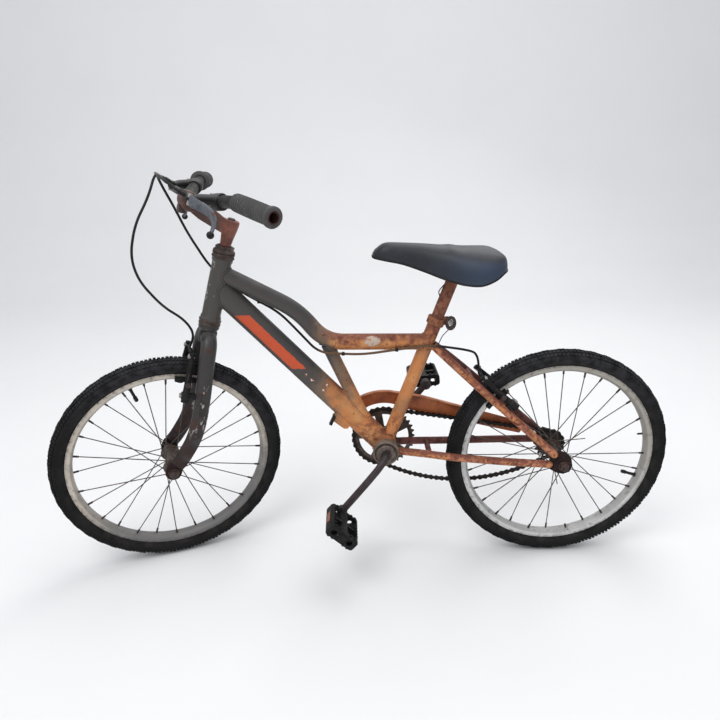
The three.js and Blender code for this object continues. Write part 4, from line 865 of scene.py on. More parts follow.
def axle(hub_ends, dropout, end):
    shapes = [(tube([(0, hub_ends[0], 0), (0, hub_ends[1], 0)], AXLE_MIDDLE_R, 20), "steel")]
    out = dropout + DROPOUT["thick"]
    washer, nut, thread = (out + reach for reach in NUT_STACK)
    for side, inner in ((-1, -hub_ends[0]), (1, hub_ends[1])):
        # From, to, profile, sides and look, outwards along the axle
        rows = [
            (inner + 0.4, dropout, CONE, 32, "zinc"),
            (dropout - 1, out + 1, [(0, AXLE_R), (1, AXLE_R)], 24, "steel"),
            (out, washer, WASHER, 32, "axle_nut"),
        ]
        for a, b, profile, sides, look in rows:
            shapes.append((ridged((0, side * a, 0), (0, side * b, 0), profile, sides), look))
        shapes.append((hex_nut((0, side * washer, 0), (0, side * nut, 0), AXLE_NUT_R), "axle_nut"))
        shapes.append((threaded((0, side * thread, 0), (0, side * end, 0), AXLE_R), "steel"))
    return shapes


# Axles: name, carrier, ends of its thick middle, half length
AXLES = [
    ("front", (FRONT_WHEEL, "steering"), (-44.5, 44.5), 72),
    ("rear", (REAR_WHEEL, "frame"), (-46, 50), 78),
]
for name, carrier, ends, end in AXLES:
    axle_shapes = axle(ends, DROPOUT[name], end)
    piece(name + "_axle_nuts", axle_shapes, carrier, "steel", name + "_axle")


# Main frame

def on_seat_tube(z):
    return (BB[0] + (z - BB[1]) / math.tan(SEAT_ANGLE), z)


def along_head(d):
    return (HEAD[0] + d * math.cos(HEAD_ANGLE), HEAD[1] + d * math.sin(HEAD_ANGLE))


def bead(start, end, halves, target, r):
    """A rippled weld round a tube's end, where its wall meets the target's skin."""
    start, end = Vector(start), Vector(end)
    tree = BVHTree.FromPolygons(*target)
    run = (end - start).normalized()
    side, up = square_to(run, Vector((0, 1, 0)))
    loop = []
    for a, b in oval(*halves, 72):
        hit = tree.ray_cast(start + side * a + up * b, run)[0]
        if hit:
            loop.append(hit)
    ripple = [r * (1 + 0.18 * math.sin(k * 2.1)) for k in range(len(loop))]
    return sweep(loop, lambda t: oval(ripple[round(t * (len(loop) - 1))], r, 10), True)


def round_halves(tube_name):
    return (TUBE_R[tube_name], TUBE_R[tube_name])


# Top tube: place along the head tube, corners of its step, height on the seat tube, length of its bends
TOP = {"head": 34, "step": [(-562, 578), (-508, 510)], "seat_z": 509, "bend": 40}
STRUT = [(-503, 505), (-424, 331)]
DOWN_RISE = 4
WELD_R = {"top": 2.2, "down": 2.6, "strut": 2.2, "seat": 2.2, "stay": 1.8, "leg": 2.4}
# Head tube from its middle up, and its bearing cup: radius, place along the tube
HEAD_WALL = [(19, 0.01), (19, 55), (19.6, 57), (20.6, 58.6), (20.8, 64.5), (20, 65.4)]
HEAD_CUP = [
    (19, 64.6), (21.6, 65), (22.6, 66), (22.6, 67.4), (21.4, 68.4), (21.2, 72), (22.2, 73), (22.2, 74.4),
    (21.4, 75), (15.5, 75), (15.5, 64.6),
]
BB_RIM = [(26, 31.5), (27.6, 32.6), (28.5, 33.4), (28.5, 36.2), (27.6, 37), (16.4, 37)]
BB_CORE = [(26, -36), (26, 36)]
BB_CUP = [(0.0, 24.6), (0.45, 24.6), (0.5, 23.2), (0.66, 23.0), (0.7, 21.6), (1, 21.2)]
BB_CUP_RUN = (34, 40.5)
# A small bracket under the down tube, with a dark end
BRACKET = [(-484, 356), (-455, 326), (-462, 317), (-470, 317), (-496, 338), (-494, 350)]
BRACKET_END = [(-491, 352), (-487, 345), (-496, 325), (-502, 328)]
bb_middle = Vector((BB[0], 0, BB[1]))
head_line = [*[(r, -at) for r, at in reversed(HEAD_WALL)], *HEAD_WALL]
head_shape = placed(turned(head_line, 56, "Z"), HEAD_PLACE)
head_cups = []
bb_cups = []
for side, _ in SIDES:
    cup = turned([(r, side * at) for r, at in HEAD_CUP], 56, "Z", loop=True)
    head_cups.append((placed(cup, HEAD_PLACE), "headset"))
    cup_ends = [bb_middle + Vector((0, side * y, 0)) for y in BB_CUP_RUN]
    bb_cups.append((ridged(*cup_ends, BB_CUP, 48), "steel"))
top_corners = [along_head(TOP["head"]), *TOP["step"], on_seat_tube(TOP["seat_z"])]
top_line = bent(flat(top_corners), TOP["bend"], 14)
top_shape = tube(top_line, TUBE_R["top"], 40)
down_ends = flat([along_head(DOWN_RISE), (BB[0], BB[1] + DOWN_RISE)])
down_line = [down_ends[0].lerp(down_ends[1], k / 12) for k in range(13)]
down_shape = sweep(down_line, lambda t: oval(*DOWN_HALVES, 44))
strut_line = flat(STRUT)
strut_mid = strut_line[0].lerp(strut_line[1], 0.5)
strut_shape = tube(strut_line, TUBE_R["strut"], 36)
seat_line = flat([BB, on_seat_tube(SEAT_TUBE_TOP_Z)])
seat_shape = tube(seat_line, TUBE_R["seat"], 40)
bb_profile = [*reversed(BB_RIM), *[(r, -y) for r, y in BB_RIM]]
bb_shape = shifted(turned(bb_profile, 56, loop=True), bb_middle)
bb_core = shifted(turned(BB_CORE, 64), bb_middle)
top_beads = [
    bead(top_line[1], top_line[0], round_halves("top"), head_shape, WELD_R["top"]),
    bead(top_line[-2], top_line[-1], round_halves("top"), seat_shape, WELD_R["top"]),
]
down_beads = [
    bead(down_line[5], down_line[0], DOWN_HALVES, head_shape, WELD_R["down"]),
    bead(down_line[7], down_line[12], DOWN_HALVES, bb_core, WELD_R["down"]),
]
down_bracket = [plate(BRACKET, -14, -8), (plate(BRACKET_END, -16, -6), "plastic")]
strut_beads = [
    bead(strut_mid, strut_line[0], round_halves("strut"), top_shape, WELD_R["strut"]),
    bead(strut_mid, strut_line[1], round_halves("strut"), down_shape, WELD_R["strut"]),
]
seat_bead = bead(seat_line[1], seat_line[0], round_halves("seat"), bb_core, WELD_R["seat"])
# Tubes: solid's name, shapes, look, slot
FRAME_TUBES = [
    ("head_tube", [head_shape, *head_cups], "frame_paint", "dark_paint"),
    ("top_tube", [top_shape, *top_beads], "top_tube_paint", "dark_paint"),
    ("down_tube", [down_shape, *down_beads, *down_bracket], "down_tube_paint", "dark_paint"),
    ("strut_tube", [strut_shape, *strut_beads], "strut_paint", "copper_paint"),
    ("seat_tube", [seat_shape, seat_bead], "frame_paint", "copper_paint"),
]
for node, shapes, look, slot in FRAME_TUBES:
    piece(node + "_painted", shapes, ON_FRAME, look, node)
shell_shapes = [bb_shape, *bb_cups]
piece("bottom_bracket_cups", shell_shapes, ON_FRAME, "shell_grey", "bottom_bracket_shell")

CHAIN_STAY = [(-370, 21, 268), (-309, 29.5, 265), (-235, 41, 259), (-120, 54, 254), (-33.2, 60.5, 251)]
SEAT_STAY = [(-283, 8, 502), (-240, 26, 465), (-195, 37, 425), (-150, 44, 385), (-23.8, 60.5, 274.2)]
# Stays: name, corners on the right side, what the weld meets
STAYS = [("chain_stay", CHAIN_STAY, bb_core), ("seat_stay", SEAT_STAY, seat_shape)]
DROPOUT_OUTLINE = [
    (-32, 240), (-32, 262), (-14, 282), (3, 276), (15, 263), (19, 245), (14, 231), (0, 226), (-16, 230),
]


def flat_end(outline, name, side, hole):
    """A flat plate for an axle's end on one side, pierced by a round hole."""
    inner = DROPOUT[name] if side > 0 else -DROPOUT[name] - DROPOUT["thick"]
    return plate(outline, inner, inner + DROPOUT["thick"], [circle(*hole, DROPOUT["hole_r"], 24)])


for side, name in SIDES:
    # The far side's stays take a darker paint: painted shade, with some grime
    paint = "stay_paint" if side < 0 else "shaded_far_paint"
    for stay, corners, target in STAYS:
        line = bent(mirrored(corners, side), 30)
        weld_bead = bead(line[2], line[0], round_halves("stay"), target, WELD_R["stay"])
        shapes = [tube(line, TUBE_R["stay"]), weld_bead, ball(line[-1], TUBE_R["stay"])]
        node = stay + "_" + name
        piece(f"{stay}_painted_{name}", shapes, ON_FRAME, paint, node)
    dropout = flat_end(DROPOUT_OUTLINE, "rear", side, (0, AXLE_Z))
    piece("dropout_" + name, [dropout], ON_FRAME, "maroon", "rear_dropout_" + name, 0.9)
# Bridges between the stays: name, place along and up, half length, radius
BRIDGES = [("chain", -285, 263, 30, 6), ("seat", -203, 433, 34, 6.5)]
for stays, x, z, half, r in BRIDGES:
    rod = tube([(x, -half, z), (x, half, z)], r, 24)
    # The bridges take the far stays' darker paint, with its painted shade
    piece(stays + "_bridge", [rod], ON_FRAME, "shaded_far_paint", stays + "_stay_bridge")


# Seat: clamp, post, rails and saddle

COLLAR_Z = (546, 561)
COLLAR_PROFILE = [(0, 17.6), (0.08, 18.5), (0.92, 18.5), (1, 17.6), (1, 15)]
EARS = {"from": 10, "to": 30, "half": 7, "y": (1.6, 8)}
BOLT = {"reach": 25, "half": 15, "r": 3.2, "nut_r": 6.4, "nut_from": 8}
# The eye beside the clamp, with a second turn of wire inside it and a loose end
EYE = {"r": 8.0, "tall": 12.0, "wire": 3.4, "y": -12, "back": 4, "rise": -2}
EYE_STUB = {"y": (-13.5, -7), "r": 5.2}
INNER_EYE = {"r": 4.4, "tall": 7.2, "wire": 1.6, "shift": (-1, 3, -1)}
LOOSE_WIRE = {"r": 1.0, "root": (-2, 0, -12), "corners": [(-266, -17, 528), (-275, -19, 508)]}
collar_x, collar_z = on_seat_tube(sum(COLLAR_Z) / 2)
collar = ridged(*flat([on_seat_tube(z) for z in COLLAR_Z]), COLLAR_PROFILE, 44)
bolt_x = collar_x + BOLT["reach"]


def at_bolt(y):
    return Vector((bolt_x, y, collar_z))


def ear(y0, y1):
    low, high = collar_z - EARS["half"], collar_z + EARS["half"]
    return box(collar_x + EARS["from"], collar_x + EARS["to"], y0, y1, low, high)


def wire_eye(size, centre, sides):
    points = [centre + Vector((a, 0, b)) for a, b in oval(size["r"], size["tall"], 28)]
    return tube(points, size["wire"], sides, True)


clamp_bolt = tube([at_bolt(-BOLT["half"]), at_bolt(BOLT["half"])], BOLT["r"], 20)
clamp_nut = hex_nut(at_bolt(BOLT["nut_from"]), at_bolt(BOLT["half"]), BOLT["nut_r"])
eye_stub = tube([at_bolt(y) for y in EYE_STUB["y"]], EYE_STUB["r"], 20)
eye_centre = Vector((bolt_x + EYE["back"], EYE["y"], collar_z + EYE["rise"]))
loose_line = bent([eye_centre + Vector(LOOSE_WIRE["root"]), *LOOSE_WIRE["corners"]], 8, 6)
ear_low, ear_high = EARS["y"]
clamp_shapes = [
    collar, (wire_eye(EYE, eye_centre, 12), "steel"),
    (wire_eye(INNER_EYE, eye_centre + Vector(INNER_EYE["shift"]), 10), "zinc"),
    (tube(loose_line, LOOSE_WIRE["r"], 8), "plastic"), ear(-ear_high, -ear_low), ear(ear_low, ear_high),
    (eye_stub, "zinc"), (clamp_bolt, "zinc"), (clamp_nut, "zinc"),
]
piece("seat_clamp_bolted", clamp_shapes, ON_FRAME, "collar", "seat_clamp", 0.7)

POST_R = 12.7
POST_Z = (474, 660)
POST_PROFILE = [(0, POST_R), (0.97, POST_R), (0.985, POST_R * 0.93), (1, POST_R * 0.8)]
# A loop of wire in front of the post: height on the post's line, distance before it, y, height
POST_WIRE = [(606, 13, -4, 606), (606, 17, -5, 616), (628, 13.5, -4, 630)]
post = ridged(*flat([on_seat_tube(z) for z in POST_Z]), POST_PROFILE, 40)
post_wire = [(on_seat_tube(at)[0] - before, y, z) for at, before, y, z in POST_WIRE]
post_shapes = [post, (tube(bent(post_wire, 6, 6), 1.1, 8), "plastic")]
piece("seat_post_rusty", post_shapes, ON_FRAME, "rust", "seat_post")

RAIL_R = 3.5
RAIL_TIE = (-345, 9, 685)
RAIL_CORNERS = [
    (-345, 8, 685), (-325, 14, 668), (-298, 21, 662), (-222, 21, 662), (-195, 21, 668), (-186, 21, 676),
]
RAIL_BLOCK = {"half_x": 14, "half_y": 15, "z": (653, 668)}
RAIL_CLAMP = {"z": 661, "half": 27, "offset": 13, "cap": 31, "cap_r": 6.4}
RAIL_CLAMP_PROFILE = [
    (0, 7), (0.05, 8.2), (0.3, 8.4), (0.33, 7.2), (0.67, 7.2), (0.7, 8.4), (0.95, 8.2), (1, 7),
]
post_x = on_seat_tube(POST_Z[1])[0]


def at_rail_clamp(offset, y):
    return (post_x + offset, y, RAIL_CLAMP["z"])


rail_shapes = [tube(bent(mirrored(RAIL_CORNERS, side), 16), RAIL_R, 16) for side, _ in SIDES]
rail_shapes.append(tube([mirrored([RAIL_TIE], side)[0] for side, _ in SIDES], RAIL_R, 16))
half, reach, cap = RAIL_CLAMP["half"], RAIL_CLAMP["offset"], RAIL_CLAMP["cap"]
for offset in (-reach, reach):
    clamp_ends = [at_rail_clamp(offset, y) for y in (-half, half)]
    rail_shapes.append(ridged(*clamp_ends, RAIL_CLAMP_PROFILE, 30))
block_x, block_y, block_z = RAIL_BLOCK.values()
rail_shapes.append(box(post_x - block_x, post_x + block_x, -block_y, block_y, *block_z))
for side, _ in SIDES:
    cap_ends = [at_rail_clamp(reach, side * y) for y in (half, cap)]
    rail_shapes.append(hex_nut(*cap_ends, RAIL_CLAMP["cap_r"]))
piece("saddle_rails_clamp", rail_shapes, ON_FRAME, "rust", "saddle_rails", 0.6)

# Saddle stations from nose to tail: x, half width, top, height of the side's lower edge
SADDLE = [
    (-410, 10, 693, 687), (-407, 15, 698, 686), (-402, 19, 703, 685), (-385, 25, 713, 682),
    (-350, 28, 713, 675), (-310, 36, 711, 662), (-275, 49, 708, 650), (-255, 58, 708, 645),
    (-235, 67, 705, 641), (-205, 76, 704, 641), (-180, 77, 703, 651), (-163, 69, 698, 663),
    (-153, 52, 692, 667), (-151, 30, 688, 671),
]
# Half of a section, over the top and then under the edge: share of the half width, share of the height
SADDLE_UPPER = [
    (0, 1), (0.25, 0.995), (0.45, 0.975), (0.62, 0.93), (0.75, 0.86), (0.86, 0.74), (0.94, 0.58),
    (0.99, 0.40), (1, 0.26), (0.99, 0.10), (0.96, 0),
]
SADDLE_UNDER = [(0.9, 0.04), (0.8, 0.30), (0.6, 0.50), (0.3, 0.56)]
SADDLE_EDGE = (0.965, 0.02)
saddle_rings = []
edge_left, edge_right = [], []
half_section = [*smooth_rows(SADDLE_UPPER, 2), *SADDLE_UNDER]
for x, half, top, edge in smooth_rows(SADDLE, 5):
    right = [Vector((x, a * half, edge + b * (top - edge))) for a, b in half_section]
    saddle_rings.append(right + mirrored(reversed(right[1:]), -1))
    edge_point = Vector((x, SADDLE_EDGE[0] * half, edge + SADDLE_EDGE[1] * (top - edge)))
    edge_left += mirrored([edge_point], -1)
    edge_right.append(edge_point)
saddle = piece("saddle_cover", [loft(saddle_rings)], ON_FRAME, "vinyl", "saddle", smooth=60)
edge_loop = [*edge_left, *reversed(edge_right)]
piece("saddle_edge", [tube(edge_loop, 2.0, 10, True)], ON_FRAME, "plastic", ())


# Drive

# Half of one tooth, mirrored: share of the pitch from its middle, offset from the pitch circle
TOOTH_SIDE = [(0.07, 1.5), (0.16, -0.4), (0.30, -3.3), (0.42, -3.9)]
TOOTH = [(-share, offset) for share, offset in reversed(TOOTH_SIDE)] + TOOTH_SIDE
TOOTH_Y = (CHAIN_Y - 1.1, CHAIN_Y + 1.1)
RING_ARMS = 5
RING_WINDOW = {"outer": 56, "inner": 26, "half": math.radians(27), "narrow": 0.75}
RING_BORE_R = 12.6
COG_BORE_R = 14
FREEWHEEL = [(0, 14), (0.08, 16.6), (0.5, 17), (0.9, 16.4), (0.93, 12), (1, 11)]
FREEWHEEL_RUN = [(0, 38, 0), (0, 50, 0)]


def pitch_radius(teeth):
    return PITCH / 2 / math.sin(math.pi / teeth)


def toothed(teeth):
    """A toothed outline; teeth rise a little past the pitch circle."""
    r = pitch_radius(teeth)
    outline = []
    for i in range(teeth):
        for share, offset in TOOTH:
            angle = 2 * math.pi * (i + share) / teeth
            outline.append(((r + offset) * math.cos(angle), (r + offset) * math.sin(angle)))
    return outline


def ring_window(i):
    middle = 2 * math.pi * (i + 0.5) / RING_ARMS
    wide = RING_WINDOW["half"]
    tight = wide * RING_WINDOW["narrow"]
    outer = arc(0, 0, RING_WINDOW["outer"], middle - wide, middle + wide, 14)
    return [*outer, *arc(0, 0, RING_WINDOW["inner"], middle + tight, middle - tight, 8)]


ring_holes = [*[ring_window(i) for i in range(RING_ARMS)], circle(0, 0, RING_BORE_R)]
ring = plate(toothed(RING_TEETH), *TOOTH_Y, ring_holes)
piece("chainring_toothed", [ring], ON_CRANKS, "ring", "chainring", 0.35)
cog = plate(toothed(COG_TEETH), *TOOTH_Y, [circle(0, 0, COG_BORE_R)])
freewheel = ridged(*FREEWHEEL_RUN, FREEWHEEL, 40)
piece("rear_cog_toothed", [cog, freewheel], ON_REAR_WHEEL, "steel", "rear_cog", 0.3)

# The slack lower run: how far along its two handles reach, and how far the second hangs
SLACK = {"front": 110, "back": 130, "deeper": 1.3}
LINK_R = 4.7
LINK_WAIST = 2.2
# Link plates, outer and inner: distance from the chain's middle
LINK_LEVELS = [(2.6, 3.6), (1.5, 2.5)]
ROLLER = [(0, 3.8), (1, 3.8)]
PIN = [(0, 1.5), (0.04, 1.8), (0.96, 1.8), (1, 1.5)]
# Rollers and pins of a free pin, and of one where teeth run through: from, to, profile, sides
FREE_PIN = [(-1.5, 1.5, ROLLER, 12), (-3.9, 3.9, PIN, 8)]
OPEN_PIN = [(1.45, 3.9, PIN, 8), (-3.9, -1.45, PIN, 8)]
TEETH_REACH = 9
SPROCKETS = [(Vector(BB), RING_TEETH), (Vector((0, AXLE_Z)), COG_TEETH)]


def chain_line():
    """Round the chainring's front, a slack lower run, round the cog's back, a straight upper run."""
    ring_r, cog_r = pitch_radius(RING_TEETH), pitch_radius(COG_TEETH)
    span = math.hypot(BB[0], AXLE_Z - BB[1])
    rise = math.atan2(BB[1] - AXLE_Z, -BB[0])
    top = math.pi / 2 - rise - math.asin((ring_r - cog_r) / span)
    front = [Vector(p) for p in arc(*BB, ring_r, top, top + math.radians(190), 40)]
    back = [Vector(p) for p in arc(0, AXLE_Z, cog_r, math.radians(-92), top, 24)]
    a, d = front[-1], back[0]
    b = a + Vector((SLACK["front"], -CHAIN_SAG))
    c = d + Vector((-SLACK["back"], -CHAIN_SAG * SLACK["deeper"]))
    lower = []
    for k in range(1, 60):
        t = k / 60
        lower.append(a * (1 - t) ** 3 + b * 3 * t * (1 - t) ** 2 + c * 3 * t * t * (1 - t) + d * t ** 3)
    return front + lower + back


def even_points(loop, pitch):
    """Points a pitch apart round a closed line, an even number of them."""
    lengths = [(loop[(i + 1) % len(loop)] - p).length for i, p in enumerate(loop)]
    total = sum(lengths)
    count = 2 * round(total / pitch / 2)
    points, i, done = [], 0, 0.0
    for k in range(count):
        target = total * k / count
        while done + lengths[i] < target:
            done += lengths[i]
            i += 1
        points.append(loop[i].lerp(loop[(i + 1) % len(loop)], (target - done) / lengths[i]))
    return points


def link_plate(a, b, y0, y1):
    """A waisted plate from one pin to the next."""
    run = (b - a).normalized()
    up = Vector((-run.y, run.x))
    outline = []
    for centre, way in ((b, 1), (a, -1)):
        for k in range(-3, 4):
            angle = k * math.pi / 6.4
            outline.append(centre + (run * math.cos(angle) + up * math.sin(angle)) * (way * LINK_R))
        outline.append((a + b) / 2 + up * (way * LINK_WAIST))
    return plate([tuple(p) for p in outline], y0, y1)


chain_shapes = []
pins = even_points(chain_line(), PITCH)
for i, pin in enumerate(pins):
    low, high = LINK_LEVELS[i % 2]
    for y0, y1 in ((-high, -low), (low, high)):
        chain_shapes.append(link_plate(pin, pins[(i + 1) % len(pins)], CHAIN_Y + y0, CHAIN_Y + y1))
    # Where teeth run through the chain its middle is open, and the pins end in the plates
    on_teeth = any((pin - middle).length < pitch_radius(teeth) + TEETH_REACH for middle, teeth in SPROCKETS)
    for y0, y1, profile, sides in OPEN_PIN if on_teeth else FREE_PIN:
        pin_ends = [(pin.x, CHAIN_Y + y, pin.y) for y in (y0, y1)]
        chain_shapes.append(ridged(*pin_ends, profile, sides))
piece("chain_links", chain_shapes, ON_FRAME, "chain", "chain", weld=False)

ARM = [(0, 50, 0), (0, 59, 8), (0, 68, 30), (0, 75, 75), (0, 82, CRANK_LENGTH)]
ARM_HALVES = (7.2, 7.8)
SPINDLE = {"half": 48, "r": 11}
# Turned parts of each crank: from, to, profile; the drive side's cone has six sides
CRANK_CONE = (26, 43.4, [(0, 15.6), (0.55, 15.6), (0.6, 20), (0.66, 21), (0.92, 21), (1, 19.5)])
CRANK_BOSS = (73, 91, [(0, 10.4), (0.1, 11.6), (0.9, 11.6), (1, 10.4)])
PEDAL_PIN = (74, 174, [(0, 6), (0.17, 6), (0.18, 8), (0.25, 8), (0.26, 6), (1, 5.6)])


def across_crank(part, side, z, sides):
    low, high, profile = part
    return ridged((0, side * low, z), (0, side * high, z), profile, sides)


arm_down = [(x, -y, -z) for x, y, z in reversed(ARM)]
crank_shapes = [
    sweep(bent([*arm_down, *ARM], 14), lambda t: oval(*ARM_HALVES, 24)),
    tube([(0, -SPINDLE["half"], 0), (0, SPINDLE["half"], 0)], SPINDLE["r"]),
]
for side, _ in SIDES:
    at = side * CRANK_LENGTH
    crank_shapes.append((across_crank(CRANK_CONE, side, 0, 6 if side > 0 else 40), "bearing_grey"))
    crank_shapes.append(across_crank(CRANK_BOSS, side, at, 32))
    crank_shapes.append((across_crank(PEDAL_PIN, side, at, 20), "steel"))
piece("crank_one_piece", crank_shapes, ON_CRANKS, "crank", "crank")

PEDAL = {"half_x": 35, "half_y": 39, "half_z": 13, "ease": 7, "wall": 8, "rib": 4}
PEDAL_BARREL = [
    (0, 11.2), (0.05, 12.6), (0.2, 12.8), (0.26, 11.4), (0.74, 11.4), (0.8, 12.8), (0.95, 12.6), (1, 11.2),
]
PEDAL_CAP = [(0, 9), (0.7, 8.6), (1, 6.5)]
PEDAL_WINDOW = {"x": 20, "r": 6}
PEDAL_GRIPS = {"count": 6, "half": 1.9, "rise": 2.4}
# Teeth on the end plates: places along X, half length, distance from the plate's faces, rise
PEDAL_TEETH = {"x": [-24, -14, 14, 24], "half": 2, "inset": 1.5, "rise": 2.6}
REFLECTOR = {"half_y": 16, "half_z": 4.6, "sunk": 1.5, "proud": 0.9}


def pedal_shapes():
    """A block pedal: pierced end plates, ridged side rails, a barrel, a rib and two reflectors."""
    hx, hy, hz, ease, wall, rib = PEDAL.values()
    inner_y = hy - wall
    corner = [(hx, -hz + ease), (hx, hz - ease)]
    corner += arc(hx - ease, hz - ease, ease, 0, math.pi / 2, 5)[1:]
    end_outline = [*corner, *[(-x, z) for x, z in reversed(corner[1:])]]
    end_outline += [(x, -z) for x, z in reversed(end_outline[2:-1])]
    holes = [circle(s * PEDAL_WINDOW["x"], 0, PEDAL_WINDOW["r"], 18) for s, _ in SIDES]
    section = [(hx - wall, -hz), *[(x, -z) for x, z in reversed(corner[2:])], *corner[:1]]
    rail = [*section, *[(x, -z) for x, z in reversed(section)]]
    shapes = [ridged((0, -hy + 0.6, 0), (0, hy - 0.6, 0), PEDAL_BARREL, 32)]
    half, inset, rise = (PEDAL_TEETH[key] for key in ("half", "inset", "rise"))
    wide, tall, sunk, proud = REFLECTOR.values()
    count, grip, up = PEDAL_GRIPS.values()
    for s, _ in SIDES:
        y0, y1 = sorted((s * inner_y, s * hy))
        shapes.append(plate(end_outline, y0, y1, holes))
        for x in PEDAL_TEETH["x"]:
            for z in (-hz, hz):
                shapes.append(box(x - half, x + half, y0 + inset, y1 - inset, z - rise, z + rise))
        shapes.append(plate([(s * x, z) for x, z in rail], -inner_y - 1, inner_y + 1))
        x0, x1 = sorted((s * (hx - sunk), s * (hx + proud)))
        shapes.append((box(x0, x1, -wide, wide, -tall, tall), "reflector"))
        x0, x1 = sorted((s * (hx - wall - 0.4), s * (hx - ease + 1.6)))
        for k in range(count):
            y = -inner_y + 2 * inner_y * (k + 0.5) / count
            shapes.append(box(x0, x1, y - grip, y + grip, -hz - up, hz + up))
    shapes.append(box(-hx + 4, hx - 4, -rib, rib, -hz + 3, hz - 3))
    shapes.append(plate(end_outline, inner_y - 0.6, inner_y + 0.6))
    return [*shapes, ridged((0, hy - 2, 0), (0, hy + 2.4, 0), PEDAL_CAP, 28)]


for side, name in SIDES:
    place = CRANKS @ move(0, side * PEDAL_Y, side * CRANK_LENGTH)
    place = place @ turn(PEDAL_TILT[name] - math.pi / 2 - CRANK_ANGLE, "Y")
    if side < 0:
        place = place @ turn(math.pi, "Z")
    node = name + "_pedal"
    piece(node + "_block", pedal_shapes(), (place, "pedal_" + name), "pedal", node, 0.7)

GUARD = {"inner": 80, "outer": 111, "y": 52.5, "thick": 1.8, "proud": 0.6}
GUARD_ANGLES = [math.radians(a) for a in (56, 78, 124)]
GUARD_TAIL_TOP = [(-300, 367), (-203, 339), (-66, 298), (-60, 284)]
GUARD_TAIL_LOW = [(-68, 270), (-210, 304)]
LIP = [(-4.5, -0.9), (5.4, -0.9), (5.4, 0.9), (-4.5, 0.9)]
LIP_SHIFT = (-3.6, -0.9)
ROLL = {"r": 1.6, "y": 1, "z": 0.8}
GUARD_BOLTS = [(-350, 360), (-85, 302)]
GUARD_BOLT = {"from": 54, "to": 58, "r": 5.2}
GUARD_ARM = {"x": (-357, -343), "y": 13, "z": (352, 356)}
GUARD_TAB = {"x": (-92, -78), "z": (290, 322)}
guard_y0, guard_y1 = GUARD["y"], GUARD["y"] + GUARD["thick"]
low_angle, high_angle, front_angle = GUARD_ANGLES
guard_top = [*arc(*BB, GUARD["outer"], front_angle, high_angle, 20), *GUARD_TAIL_TOP]
guard_low = [*GUARD_TAIL_LOW, *arc(*BB, GUARD["inner"], low_angle, front_angle, 24)]
lip_line = [Vector((x, guard_y0 + LIP_SHIFT[0], z + LIP_SHIFT[1])) for x, z in guard_top[:-2]]
roll_line = [Vector((x, guard_y0 + ROLL["y"], z + ROLL["z"])) for x, z in guard_low]
guard_arm = box(*GUARD_ARM["x"], GUARD_ARM["y"], guard_y0 + 1, *GUARD_ARM["z"])
guard_tab = box(*GUARD_TAB["x"], guard_y0 - GUARD["proud"], guard_y1 + GUARD["proud"], *GUARD_TAB["z"])
guard_bolts = []
for x, z in GUARD_BOLTS:
    bolt_ends = [(x, GUARD_BOLT[key], z) for key in ("from", "to")]
    guard_bolts.append((hex_nut(*bolt_ends, GUARD_BOLT["r"]), "zinc"))
# The lip along the guard's top takes a paler look: a painted highlight
guard_shapes = [
    plate([*guard_top, *guard_low], guard_y0, guard_y1), (sweep(lip_line, lambda t: LIP), "guard_edge"),
    tube(roll_line, ROLL["r"], 8), guard_arm, guard_tab, *guard_bolts,
]
piece("chain_guard_band", guard_shapes, ON_FRAME, "guard_paint", "chain_guard", 0.4)


# Fork

# Crown and steerer from below: radius, height
CROWN = [
    (0.01, -116), (13, -116), (15.5, -114.5), (17.5, -110), (18, -105), (18, -87), (19.5, -84.5), (21, -83),
    (21.4, -79), (21, -75.4), (12.7, -75.2), (12.7, 87), (0.01, 87),
]
LEG = [
    (0, 17, -98), (0, 38, -108), (0, 48, -140), (8, 50.5, -240), (8, 52, -310), (-10, 52.5, -366),
    (-RAKE + 4, 52.5, -AXLE_DROP + 19),
]
LEG_BEAD_HALVES = (15.6, 15.6)
LEG_TOP = (16, 16)
LEG_FOOT = (9, 16.5)
FORK_TIP = [
    (-18, 0), (-17, 8), (-14, 20), (-10.5, 23.5), (-5, 25), (4, 24.6), (13, 23), (16, 15), (17, 6),
    (16.4, -2), (14, -10), (10, -14.4), (4, -17), (-4, -16.8), (-11, -14), (-16, -7),
]


def leg_section(t):
    across, length = (a + (b - a) * t for a, b in zip(LEG_TOP, LEG_FOOT))
    return oval(across, length, 32)


crown = turned(CROWN, 48, "Z")
piece("fork_crown_painted", [crown], ON_FORK, "fork_paint", "fork_crown")
tip_outline = [(x - RAKE, z - AXLE_DROP) for x, z in FORK_TIP]
for side, name in SIDES:
    leg_line = bent(mirrored(LEG, side), 34, 10)
    leg_bead = bead(leg_line[3], leg_line[0], LEG_BEAD_HALVES, crown, WELD_R["leg"])
    leg_shapes = [sweep(leg_line, leg_section), leg_bead]
    node = "fork_leg_" + name
    piece("fork_leg_painted_" + name, leg_shapes, ON_FORK, "fork_paint", node)
    tip = flat_end(tip_outline, "front", side, (-RAKE, -AXLE_DROP))
    piece("fork_tip_flat_" + name, [tip], ON_FORK, "maroon", "fork_tip_" + name, 1.0)


# Headset nut, stem and handlebar

NUT = [
    (13, 75.4), (20.6, 75.4), (22, 76.6), (22, 78.2), (20.4, 80.4), (17.6, 83), (17.6, 83.6), (16.6, 84),
    (16.6, 88), (15.6, 89), (13, 89),
]
LOCK_NUT = [(13, 83.4), (18.4, 83.4), (19, 84.2), (19, 87.4), (18.2, 88.4), (13, 88.4)]
nut_shapes = [turned(NUT, 48, "Z", loop=True), turned(LOCK_NUT, 6, "Z", loop=True)]
piece("headset_nut_rusty", nut_shapes, ON_FORK, "headset", "headset_nut")

